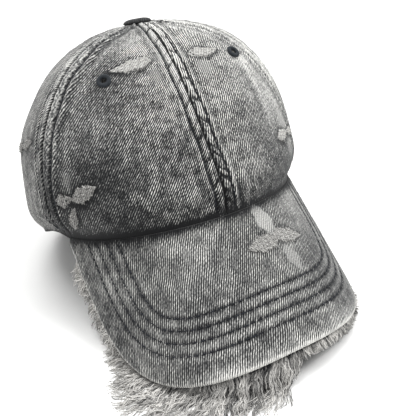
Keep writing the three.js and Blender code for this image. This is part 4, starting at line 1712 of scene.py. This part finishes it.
    @staticmethod
    def rim_edges(bm: bmesh.types.BMesh, placed: Array) -> list[bmesh.types.BMEdge]:
        """Find the open edges along the rim, in the first and the last row of the grid.

        Args:
            bm: the visor's mesh.
            placed: the grid's points in metres.

        Returns:
            The edges.
        """
        rims = np.concatenate([placed[:, 0], placed[:, -1]])
        longest = 1.8 * MM
        found = []
        for edge in bm.edges:
            if edge.is_boundary and edge.calc_length() < longest:
                near = [np.abs(rims - np.array(vert.co)).sum(1).min() < 1e-6 for vert in edge.verts]
                if all(near):
                    found.append(edge)
        return found

    def note_rows(self, edge: Array, p: Array, q: Array) -> None:
        """Keep the paths of the thread rows, at their inset from the outline.

        Args:
            edge: distance from the outline.
            p: place across the sheet.
            q: place forward on the sheet.
        """
        for row in range(self.row_count):
            want = self.first_row + row * self.row_gap
            spots = []
            for column in range(self.columns):
                line = edge[column][::-1]
                if line.max() < want + 0.4:
                    continue
                k = int(np.argmax(line >= want))
                t = (want - line[k - 1]) / (line[k] - line[k - 1]) if k else 0.0
                k = len(line) - 1 - k
                spots.append([side[column, k] * t + side[column, k + 1] * (1 - t) for side in (p, q)])
            spots = np.array(spots)
            spots = np.stack([np.convolve(spots[:, a], np.ones(5) / 5, "valid") for a in (0, 1)], -1)
            normal = self.form.visor_normal(spots[:, 0])
            points = self.form.visor_point(spots[:, 0], spots[:, 1]) - normal * self.thread_sink
            self.row_paths.append((self.form.place(points), self.form.turn(normal)))

    def patches(self, material: Material) -> Object:
        """Build the raised petals on the visor.

        Args:
            material: matted cotton.

        Returns:
            The petals as one mesh.
        """
        whole = bmesh.new()
        form = self.form

        def skin(x: Array, y: Array, lift: Array) -> Array:
            """Point over the visor at a place of the flower."""
            p, q = VISOR_FLOWER.at + x, VISOR_FLOWER.up + y
            return form.place(form.visor_point(p, q) + form.visor_normal(p) * lift[..., None])

        grow_patches(whole, VISOR_FLOWER, skin)
        return show(to_object("visor_petals", whole, material), Slot.VISOR)


@dataclass
class Stitches:
    """Runs of sewn thread along paths on the cloth. Lengths in mm."""

    length: float = 3.1
    pitch: float = 3.8
    radius: float = 0.36
    skew: float = 0.13
    seed: int = 5

    def template(self) -> Pair:
        """Make one stitch along x.

        Returns:
            Its points and triangles.
        """
        bm = bmesh.new()
        bmesh.ops.create_uvsphere(bm, u_segments=8, v_segments=6, radius=0.5)
        bmesh.ops.triangulate(bm, faces=bm.faces)
        points = np.array([vert.co[:] for vert in bm.verts])
        faces = np.array([[vert.index for vert in face.verts] for face in bm.faces])
        bm.free()
        points = points[:, [2, 0, 1]]
        points[:, 0] = np.sign(points[:, 0]) * np.abs(points[:, 0] * 2) ** 0.6 / 2
        return points, faces

    def run(self, name: str, paths: list[Pair], material: Material, slot: Slot, lift: float) -> Object:
        """Sew along paths of points with their normals.

        Args:
            name: name of the piece.
            paths: points and normals of each row.
            material: thread.
            slot: material slot.
            lift: raise above the path in mm.

        Returns:
            The stitches as one mesh.
        """
        points, faces = self.template()
        chance = np.random.default_rng(self.seed)
        all_points, all_faces, all_tones = [], [], []
        for line, normals in paths:
            run = distances(line) / MM
            for start in np.arange(0.4, run[-1] - self.pitch, self.pitch):
                ends = (start, start + self.length)
                a, b = (np.array([np.interp(s, run, line[:, k]) for k in range(3)]) for s in ends)
                up = unit(np.array([np.interp(start, run, normals[:, k]) for k in range(3)]))
                along = unit(b - a)
                side = unit(np.cross(up, along))
                along = unit(along + side * (self.skew + chance.normal(0, 0.05)))
                side = unit(np.cross(up, along))
                size = np.array([self.length, 2 * self.radius, 1.7 * self.radius]) * MM
                size = size * chance.uniform(0.93, 1.05)
                arch = 0.12 * MM * (1 - (2 * points[:, 0]) ** 2)
                turned = (points * size) @ np.stack([along, side, np.cross(along, side)])
                all_faces.append(faces + len(points) * len(all_points))
                all_points.append(turned + np.outer(arch + lift * MM, up) + (a + b) / 2)
                all_tones.append(np.full(len(points), chance.uniform(0.15, 0.6)))
        spots, cells, tones = (np.concatenate(parts) for parts in (all_points, all_faces, all_tones))
        return show(toned_object(name, spots, cells.tolist(), tones, material), slot)


@dataclass(frozen=True)
class Bunch:
    """How one bunch of frayed threads lies: its place, reach in mm, turns in radians, and shares."""

    centre: float
    reach: float
    sweep: float
    fall: float
    pull: float
    phase: float
    lift: float


@dataclass
class Fringe:
    """Frayed warp threads under the visor's edge, in wavy bunches: lengths in mm, angles in degrees."""

    form: CapForm
    span: float = 0.90
    bunches: int = 108
    strands: int = 17
    sides: int = 3
    steps: int = 16
    radius: float = 0.40
    depth: float = 4.3
    inset: float = 3.4
    short_left: float = 12.5
    short_right: float = 5.0
    long: float = 29.0
    sweep: float = 66.0
    long_from: float = -86.0
    long_to: float = 6.0
    fade: float = 12.0
    crimp: float = 0.36
    steepest_deg: float = 78.0
    pale_long: float = 0.66
    pale_short: float = 0.50
    pale_until: float = -0.4
    halves_at: float = -0.1
    seed: int = 11

    def build(self, material: Material) -> list[Object]:
        """Build the strands.

        Args:
            material: frayed thread.

        Returns:
            The left and the right half.
        """
        chance = np.random.default_rng(self.seed)
        parts: dict[str, list] = {"left": [], "right": []}
        for index in range(self.bunches):
            centre = -self.span + 2 * self.span * (index + 0.5) / self.bunches + chance.normal(0, 0.004)
            place = float(self.form.edge_at(np.array([centre]))[0][0, 0])
            share = float(smooth(np.array((place - self.long_from) / self.fade)))
            share *= float(smooth(np.array((self.long_to - place) / self.fade)))
            short = self.short_left if place < 0 else self.short_right
            bunch = Bunch(
                centre=centre,
                reach=short + (self.long - short) * share * chance.uniform(0.6, 1.05),
                sweep=math.radians(self.sweep * share * chance.uniform(0.6, 1.3) + chance.normal(0, 12)),
                fall=math.radians(chance.uniform(3, 9) * (0.15 + 0.85 * share)),
                pull=chance.uniform(0.35, 0.85),
                phase=chance.uniform(0, 2 * math.pi),
                lift=chance.uniform(-0.2, 1.0) * share,
            )
            pale = self.pale_long if centre < self.pale_until else self.pale_short
            shade = pale + chance.uniform(-0.24, 0.22)
            for _ in range(self.strands):
                path = self.strand(bunch, chance)
                tone = float(np.clip(shade + chance.normal(0, 0.24), 0.02, 0.98))
                parts["left" if centre < self.halves_at else "right"].append((path, tone))
        made = []
        for half, strands in parts.items():
            paths = np.array([path for path, _ in strands])
            tones = np.array([tone for _, tone in strands])
            made.append(self.tubes(f"fringe_{half}", paths, tones, material))
        return made

    def strand(self, bunch: Bunch, chance: np.random.Generator) -> Array:
        """Lay one strand.

        Args:
            bunch: the lie that its bunch shares.
            chance: source of the strand's own variation.

        Returns:
            Its path in the rest frame, in metres.
        """
        form = self.form
        centre = bunch.centre
        spots, outs = form.edge_at(np.array([centre + chance.normal(0, 0.010), centre]))
        far = np.array(30.0)
        deep = self.depth + chance.uniform(-0.4, 0.6)
        ends = [spots[0] - outs[0] * (self.inset + chance.uniform(-1.5, 1.5)), spots[0] + outs[0] * 0.1]
        path = [form.place(form.visor_under(np.array(p), np.array(q), far, deep)) for p, q in ends]
        outward = unit(path[1] - path[0])
        heading = math.atan2(outward[1], outward[0])
        slope = math.asin(float(np.clip(-outward[2], -1, 1)))
        length = bunch.reach * chance.uniform(0.62, 1.1)
        stride = length / (self.steps - 2) * MM
        sweep = bunch.sweep + chance.normal(0, 0.14)
        own = chance.uniform(0, 2 * math.pi)
        floor = (0.35 + 1.6 * chance.random() ** 2) * MM
        for k in range(1, self.steps - 1):
            t = k / (self.steps - 2)
            slope = min(slope + bunch.fall, math.radians(self.steepest_deg))
            turn = heading - sweep * (0.3 + 0.7 * t**0.6)
            level = math.cos(slope)
            way = np.array([math.cos(turn) * level, math.sin(turn) * level, -math.sin(slope)])
            spot = path[-1] + way * stride
            if spot[2] < floor:
                spot = path[-1] + np.array([math.cos(turn), math.sin(turn), 0]) * stride
                spot[2] = max(floor, path[-1][2] * 0.8)
            path.append(spot)
        path = np.array(path)
        along = np.gradient(path, axis=0)
        side = unit(np.cross(along, UP))
        lift = np.cross(side, unit(along))
        run = np.arange(self.steps) * stride / MM
        grown = smooth(run / 5.0)
        shared = np.sin(run * 0.62 + bunch.phase) * 0.9 * bunch.lift
        shared = shared + np.sin(run * 0.34 + bunch.phase) * 1.1
        crimp = np.sin(run * 1.05 + own) * self.crimp
        path = path + side * ((shared * 0.8 + crimp) * grown * MM)[:, None]
        path = path + lift * ((np.cos(run * 0.95 + own) * self.crimp + 0.5 * shared) * grown * MM)[:, None]
        middle, _ = form.edge_at(np.array([centre]))
        pin = form.place(form.visor_under(np.array(middle[0, 0]), np.array(middle[0, 1]), far, self.depth))
        across = np.array([-math.sin(heading), math.cos(heading), 0])
        gather = np.linspace(0, 1, self.steps) ** 1.1 * bunch.pull
        path = path - np.outer(gather * float((path[1] - pin) @ across), across)
        path[:, 2] = np.maximum(path[:, 2], (self.radius + 0.05) * MM)
        return path

    def tubes(self, name: str, paths: Array, tones: Array, material: Material) -> Object:
        """Sweep a thin tapering tube along each path.

        Args:
            name: name of the piece.
            paths: strands by steps of points in metres.
            tones: tone of each strand.
            material: frayed thread.

        Returns:
            The strands as one mesh.
        """
        count, steps = paths.shape[:2]
        along = unit(np.gradient(paths, axis=1))
        side = unit(np.cross(along, UP))
        up = np.cross(side, along)
        taper = (1 - 0.55 * np.linspace(0, 1, steps) ** 2)[None, :, None] * self.radius * MM
        rings = []
        for turn in np.arange(self.sides) / self.sides * 2 * math.pi:
            rings.append(paths + (side * math.cos(turn) + up * math.sin(turn)) * taper)
        points = np.stack(rings, 2)
        points[..., 2] = np.maximum(points[..., 2], 0.05 * MM)
        index = np.arange(count * steps * self.sides).reshape(count, steps, self.sides)
        after = np.roll(index, -1, axis=2)
        walls = np.stack([index[:, :-1], after[:, :-1], after[:, 1:], index[:, 1:]], -1).reshape(-1, 4)
        caps = np.concatenate([index[:, 0, ::-1], index[:, -1]])
        # each strand darkens towards its root as painted shadow under the visor's edge
        fade = (0.12 - 0.62 * np.exp(-np.linspace(0, 1, steps) * 9))[None, :] + tones[:, None]
        shade = np.repeat(fade.ravel(), self.sides)
        obj = toned_object(name, points.reshape(-1, 3), walls.tolist() + caps.tolist(), shade, material)
        return show(obj, Slot.FRINGE, *(["visor_fringe"] if name == "fringe_left" else []))


@dataclass
class Eyelets:
    """Buttonhole-stitched rings in the panels. Lengths in mm."""

    crown: Crown
    radius: float = 4.1
    hole: float = 1.6
    thick: float = 1.25
    raised: float = 0.35
    threads: int = 36

    def build(self, material: Material) -> list[Object]:
        """Build every ring."""
        return [self.ring(name, at, up, material) for name, at, up in self.crown.eyelets]

    def ring(self, name: str, at: float, up: float, material: Material) -> Object:
        """Build one ring of raised radial threads, spun round its axis.

        Args:
            name: CAD node that it stands for.
            at: angle round the crown in degrees.
            up: arc angle in degrees.
            material: buttonhole thread.

        Returns:
            The ring.
        """
        form = self.crown.form
        angle = np.array(math.radians(at))
        height = form.height_at_arc(angle, np.array(up))
        centre = form.place(form.crown_skin(angle, height, np.array(0.0)))
        axis = Vector(form.turn(form.crown_normal(angle, height)))
        around, across = 144, 14
        middle = (self.radius + self.hole) / 2
        half = (self.radius - self.hole) / 2
        turns = np.arange(across) / across * 2 * math.pi
        outline = [(middle + half * math.cos(t), 0, self.raised + self.thick * math.sin(t)) for t in turns]
        bm = spun(outline, closed=True, steps=around)
        shade = bm.verts.layers.float.new("tone")
        for vert in bm.verts:
            turn = math.atan2(vert.co.y, vert.co.x)
            thread = 0.5 + 0.5 * math.sin(turn * self.threads + 0.8 * math.sin(turn * 5))
            out = Vector((math.cos(turn) * middle, math.sin(turn) * middle, self.raised))
            vert.co = out + (vert.co - out) * (0.90 + 0.13 * thread + 0.03 * math.sin(turn * 11))
            vert[shade] = 0.15 + 0.5 * thread
        bmesh.ops.recalc_face_normals(bm, faces=bm.faces)
        bmesh.ops.scale(bm, vec=(MM, MM, MM), verts=bm.verts)
        turn = Vector(UP).rotation_difference(axis).to_matrix().to_4x4()
        bmesh.ops.transform(bm, matrix=Matrix.Translation(Vector(centre)) @ turn, verts=bm.verts)
        return show(to_object(name + "_thread", bm, material), Slot.EYELETS, name)


def spun(outline: list[tuple[float, float, float]], closed: bool, steps: int) -> bmesh.types.BMesh:
    """Spin an outline a full turn round the upright axis.

    Args:
        outline: points of the outline.
        closed: whether its last point joins its first.
        steps: steps round the turn.

    Returns:
        The spun surface.
    """
    bm = bmesh.new()
    verts = [bm.verts.new(point) for point in outline]
    after = verts[1:] + verts[:1] if closed else verts[1:]
    edges = [bm.edges.new(pair) for pair in zip(verts, after)]
    bmesh.ops.spin(
        bm, geom=verts + edges, cent=(0, 0, 0), axis=(0, 0, 1), angle=2 * math.pi, steps=steps, use_merge=True
    )
    return bm


@dataclass
class Button:
    """Cloth-covered button over the meeting seams, with a plain post and clench disc. Lengths in mm."""

    form: CapForm
    radius: float = 8.8
    height: float = 3.4
    edge: float = 0.9
    base: float = 0.3
    base_radius: float = 7.6
    post: float = 2.4
    reach: float = 3.6
    disc: float = 6.4
    disc_thick: float = 1.0
    puckers: int = 16

    def build(self, material: Material) -> Object:
        """Build the button from a spun outline.

        Args:
            material: black denim.

        Returns:
            The button.
        """
        floor = -self.reach - self.disc_thick
        low = [(0.0, floor), (self.disc, floor), (self.disc, -self.reach), (self.post, -self.reach)]
        low += [(self.post, self.base), (self.base_radius, self.base)]
        rise = self.height - self.edge
        rounds = np.linspace(0, math.pi / 2, 16)[:-1]
        dome = [(self.radius * math.cos(t) ** 0.62, self.edge + rise * math.sin(t)) for t in rounds]
        outline = [(r, 0, z) for r, z in low + dome + [(0.0, self.height)]]
        bm = spun(outline, closed=False, steps=48)
        bmesh.ops.remove_doubles(bm, verts=bm.verts, dist=1e-4)
        bmesh.ops.recalc_face_normals(bm, faces=bm.faces)
        place = bm.verts.layers.float_vector.new("cloth")
        shade = bm.verts.layers.float.new("tone")
        top = np.array([self.form.top_shift[0], self.form.top_shift[1], self.form.crown_top])
        for vert in bm.verts:
            turn = math.atan2(vert.co.y, vert.co.x)
            rim = math.hypot(vert.co.x, vert.co.y) / self.radius
            vert[place] = (vert.co.x, vert.co.y, 0)
            vert[shade] = -0.04 + 0.12 * (1 - rim)
            if vert.co.z > 1:
                vert.co.z -= 0.28 * rim**2 * (0.5 + 0.5 * math.sin(turn * self.puckers))
            vert.co = Vector(self.form.place(top + np.array(vert.co)))
        return show(to_object("button_cover", bm, material), Slot.BUTTON, "top_button")


@dataclass
class Bands:
    """Sweatband, back strap and the binding of the arch. Lengths in mm."""

    form: CapForm
    crown: Crown
    wall: float = 1.8
    band_low: float = 1.0
    band_reach: float = 24.0
    band_gap: float = 0.9
    band_wall: float = 1.2
    band_grid: tuple[int, int] = (260, 22)
    strap_low: float = 5.6
    strap_tall: float = 19.0
    strap_gap: float = 0.7
    strap_wall: float = 1.9
    strap_grid: tuple[int, int] = (150, 34)
    strap_rows: tuple[int, int] = (3, 30)
    tucked: float = 12.0
    cloth_per_degree: float = 1.5
    binding_reach: float = 6.0
    binding_wall: float = 0.5
    binding_columns: int = 200

    def half_arch(self) -> float:
        """Half angle of the arch in degrees."""
        return math.degrees(math.asin(self.crown.arch_half_width / self.form.rim_half_width))

    def tucked_deg(self) -> float:
        """Angle that an end runs on behind the arch's side, in degrees."""
        return math.degrees(self.tucked / self.form.rim_half_depth)

    def wrap(
        self, span: tuple[float, float], low: float, high: float | Array, depth: float, size: tuple[int, int]
    ) -> Pair:
        """Lay a grid along the crown's inner face between two heights.

        Args:
            span: first and last angle in degrees.
            low: height of the lower edge.
            high: height of the upper edge, or one for each column.
            depth: depth under the crown's outer face.
            size: columns and rows.

        Returns:
            Points in metres and cloth places.
        """
        angle = np.radians(np.linspace(*span, size[0]))[:, None]
        height = low + (high - low) * np.linspace(0, 1, size[1])[None, :] + 0 * angle
        angle = np.broadcast_to(angle, height.shape)
        points = self.form.crown_skin(angle, height, np.full(height.shape, depth))
        return self.form.place(points), np.stack([np.degrees(angle) * self.cloth_per_degree, height], -1)

    def sweatband(self, material: Material) -> Object:
        """Build the band inside the lower edge.

        Args:
            material: tape.

        Returns:
            The band.
        """
        end = 180 - self.half_arch() - self.tucked_deg() - 1
        angle = np.radians(np.linspace(-end, end, self.band_grid[0]))[:, None]
        high = self.form.drop_at(angle) + self.band_reach
        points, cloth = self.wrap((-end, end), self.band_low, high, self.wall + self.band_gap, self.band_grid)
        bm = cloth_grid(points, cloth, 0.05 * np.sin(cloth[..., 0] * 0.3))
        thicken(bm, self.band_wall * MM, self.form.inside_point())
        for vert in bm.verts:
            vert.co.z = max(vert.co.z, 0.0)
        return show(to_object("sweatband_tape", bm, material), Slot.SWEATBAND, "sweatband")

    def strap(self, cloth: Material) -> tuple[Object, list[Pair]]:
        """Build the strap across the arch.

        Args:
            cloth: denim.

        Returns:
            The strap, and the paths of its edge stitches.
        """
        half = self.half_arch() + self.tucked_deg()
        top = self.strap_low + self.strap_tall
        depth = self.wall + self.strap_gap
        points, places = self.wrap((180 - half, 180 + half), self.strap_low, top, depth, self.strap_grid)
        height = places[..., 1]
        bm = cloth_grid(points, places, 0.1 * (bump(height, self.strap_low, 1.2) + bump(height, top, 1.2)))
        thicken(bm, self.strap_wall * MM, self.form.inside_point())
        obj = show(to_object("strap_cloth", bm, cloth, cloth), Slot.STRAP, "back_strap")
        normals = grid_normals(points)
        return obj, [(points[8:-8, row], normals[8:-8, row]) for row in self.strap_rows]

    def binding(self, material: Material) -> Object:
        """Build the folded tape round the arch's cut edge.

        Args:
            material: tape.

        Returns:
            The binding.
        """
        form, wall, count = self.form, self.binding_wall, self.binding_columns
        end = self.half_arch() - 0.25
        angle = np.radians(np.linspace(180 - end, 180 + end, count))
        height = np.maximum(form.height_at_arc(angle, self.crown.arch_start(angle)), 2.0)
        level = np.zeros(count)
        outer = form.crown_skin(angle, height, level - wall)
        inner = form.crown_skin(angle, height, level + self.wall + wall)
        upward = unit(form.crown_skin(angle, height + 1, level) - form.crown_skin(angle, height, level))
        away = unit(np.cross(unit(outer - inner), unit(np.gradient(outer, axis=0))))
        away = np.where((away * upward).sum(-1, keepdims=True) < 0, -away, away)
        folds = ((outer, self.binding_reach), (outer, 0.4), (outer, -0.5))
        folds += ((inner, -0.5), (inner, 0.4), (inner, self.binding_reach))
        placed = form.place(np.stack([face + away * reach for face, reach in folds], 1))
        across = np.array([6.0, 0.0, -1.0, -2.0, -3.0, -9.0])
        cloth = np.stack(np.broadcast_arrays(np.arange(count)[:, None] * 0.8, across), -1)
        bm = cloth_grid(placed, cloth, np.zeros((count, len(folds))))
        bmesh.ops.recalc_face_normals(bm, faces=bm.faces)
        return show(to_object("arch_binding", bm, material), Slot.CROWN_REAR)


@dataclass(frozen=True)
class Studio:
    """Pale floor, soft light and the camera at the photo's angle."""

    camera_at: tuple[float, float, float] = (-0.12311, -0.28520, 0.21504)
    camera_turn: tuple[float, float, float] = (1.0551429438, 0.0728168941, -0.5001992409)
    lens: float = 48.0228
    sensor_width: float = 36.0
    floor_half: float = 30.0
    floor_relief: float = 0.02
    room_light: float = 0.42

    def build(self) -> None:
        """Set up the camera, the floor, the lights and the room."""
        scene = bpy.context.scene
        data = bpy.data.cameras.new("photo_view")
        data.lens = self.lens
        data.sensor_width = self.sensor_width
        camera = bpy.data.objects.new("photo_view", data)
        camera.location = self.camera_at
        camera.rotation_euler = self.camera_turn
        scene.collection.objects.link(camera)
        scene.camera = camera
        scene.view_settings.view_transform = "Standard"
        bm = bmesh.new()
        bmesh.ops.create_grid(bm, x_segments=1, y_segments=1, size=self.floor_half)
        board = Board("pale_floor")
        place = board.add("TexCoord").outputs["Object"]
        grain = board.noise(place, scale=40.0)
        color = board.ramp(grain, ((0.0, 0xF4F4F3), (1.0, 0xFAFAF9)))
        floor = to_object("floor", bm, board.finish(color, grain, self.floor_relief * MM, Roughness=0.8))
        self.light("key", at=(1.5, -0.75, 2.4), size=1.3, power=52.0)
        self.light("fill", at=(-1.9, -1.1, 1.4), size=1.6, power=9.0)
        self.light("top", at=(-0.1, 0.6, 2.8), size=1.6, power=66.0)
        world = bpy.data.worlds.new("pale_room")
        world.use_nodes = True
        background = world.node_tree.nodes["Background"]
        background.inputs[0].default_value = (1, 1, 1, 1)
        background.inputs[1].default_value = self.room_light
        scene.world = world

    @staticmethod
    def light(name: str, at: tuple[float, float, float], size: float, power: float) -> None:
        """Add a soft square light that faces the cap.

        Args:
            name: name of the light.
            at: its place in metres.
            size: its side in metres.
            power: its power in watts.
        """
        data = bpy.data.lights.new(name, "AREA")
        data.size = size
        data.energy = power
        lamp = bpy.data.objects.new(name, data)
        lamp.location = at
        aim = Vector((0, 0, 0.06))
        lamp.rotation_euler = (aim - Vector(at)).to_track_quat("-Z", "Y").to_euler()
        bpy.context.scene.collection.objects.link(lamp)


def main() -> None:
    """Build the cap piece by piece."""
    logging.basicConfig(level=logging.INFO, format="%(name)s: %(message)s")
    front = Denim("washed_denim_crown").build()
    rear = Denim("washed_denim_rear", level=0.33, contrast=0.75, clouds=0.4).build()
    peak = Denim("washed_denim_visor", pitch=1.15, lean_deg=-28.0, level=0.33, contrast=0.63).build()
    inside = Denim("denim_reverse", level=0.62, contrast=0.3, clouds=0.15).build()
    matted = Matted("fulled_cotton").build()
    navy = Thread("navy_thread", dark=0x0D0F14, light=0x2B2F37).build()
    satin = Thread("slate_thread", dark=0x101214, light=0x454B51, twist=3.0).build()
    frayed = Thread("frayed_warp", dark=0x26272A, light=0xDEDCD8, twist=1.2).build()
    black = Denim("black_denim", level=0.06, contrast=0.22, clouds=0.1).build()
    tape = PlainTwill("black_cotton_tape", dark=0x141516, light=0x3A3B3D).build()
    metal = SatinMetal("satin_steel").build()

    crown = Crown(FORM)
    left, right, back = FORM.left_seam_at, FORM.right_seam_at, FORM.back_seam_at
    spans = {
        "panel_front_left": (-left, 0, Slot.CROWN_FRONT, front),
        "panel_front_right": (0, right, Slot.CROWN_FRONT, front),
        "panel_side_left": (-back, -left, Slot.CROWN_REAR, rear),
        "panel_side_right": (right, back, Slot.CROWN_REAR, rear),
        "panel_back_left": (-180, -back, Slot.CROWN_REAR, rear),
        "panel_back_right": (back, 180, Slot.CROWN_REAR, rear),
    }
    for node, (start, end, slot, cloth) in spans.items():
        crown.panel(node, start, end, slot, cloth, inside)
    petals = crown.patches(matted)
    visor = Visor(FORM)
    visor.build(peak)
    visor.patches(matted)
    Fringe(FORM).build(frayed)
    Eyelets(crown).build(satin)
    Button(FORM).build(black)
    bands = Bands(FORM, crown)
    band = bands.sweatband(tape)
    strap, strap_paths = bands.strap(rear)
    binding = bands.binding(tape)
    stitches = Stitches()
    seams = stitches.run("seam_stitches", crown.seam_paths, navy, Slot.CROWN_FRONT, 0.1)
    Stitches(radius=0.3).run("visor_stitches", visor.row_paths, navy, Slot.VISOR, 0.15)
    edge = stitches.run("strap_stitches", strap_paths, navy, Slot.STRAP, 0.1)
    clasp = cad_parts["strap_clasp"]
    clasp.data.materials.clear()
    clasp.data.materials.append(metal)
    Studio().build()


if __name__ == "__main__":
    main()
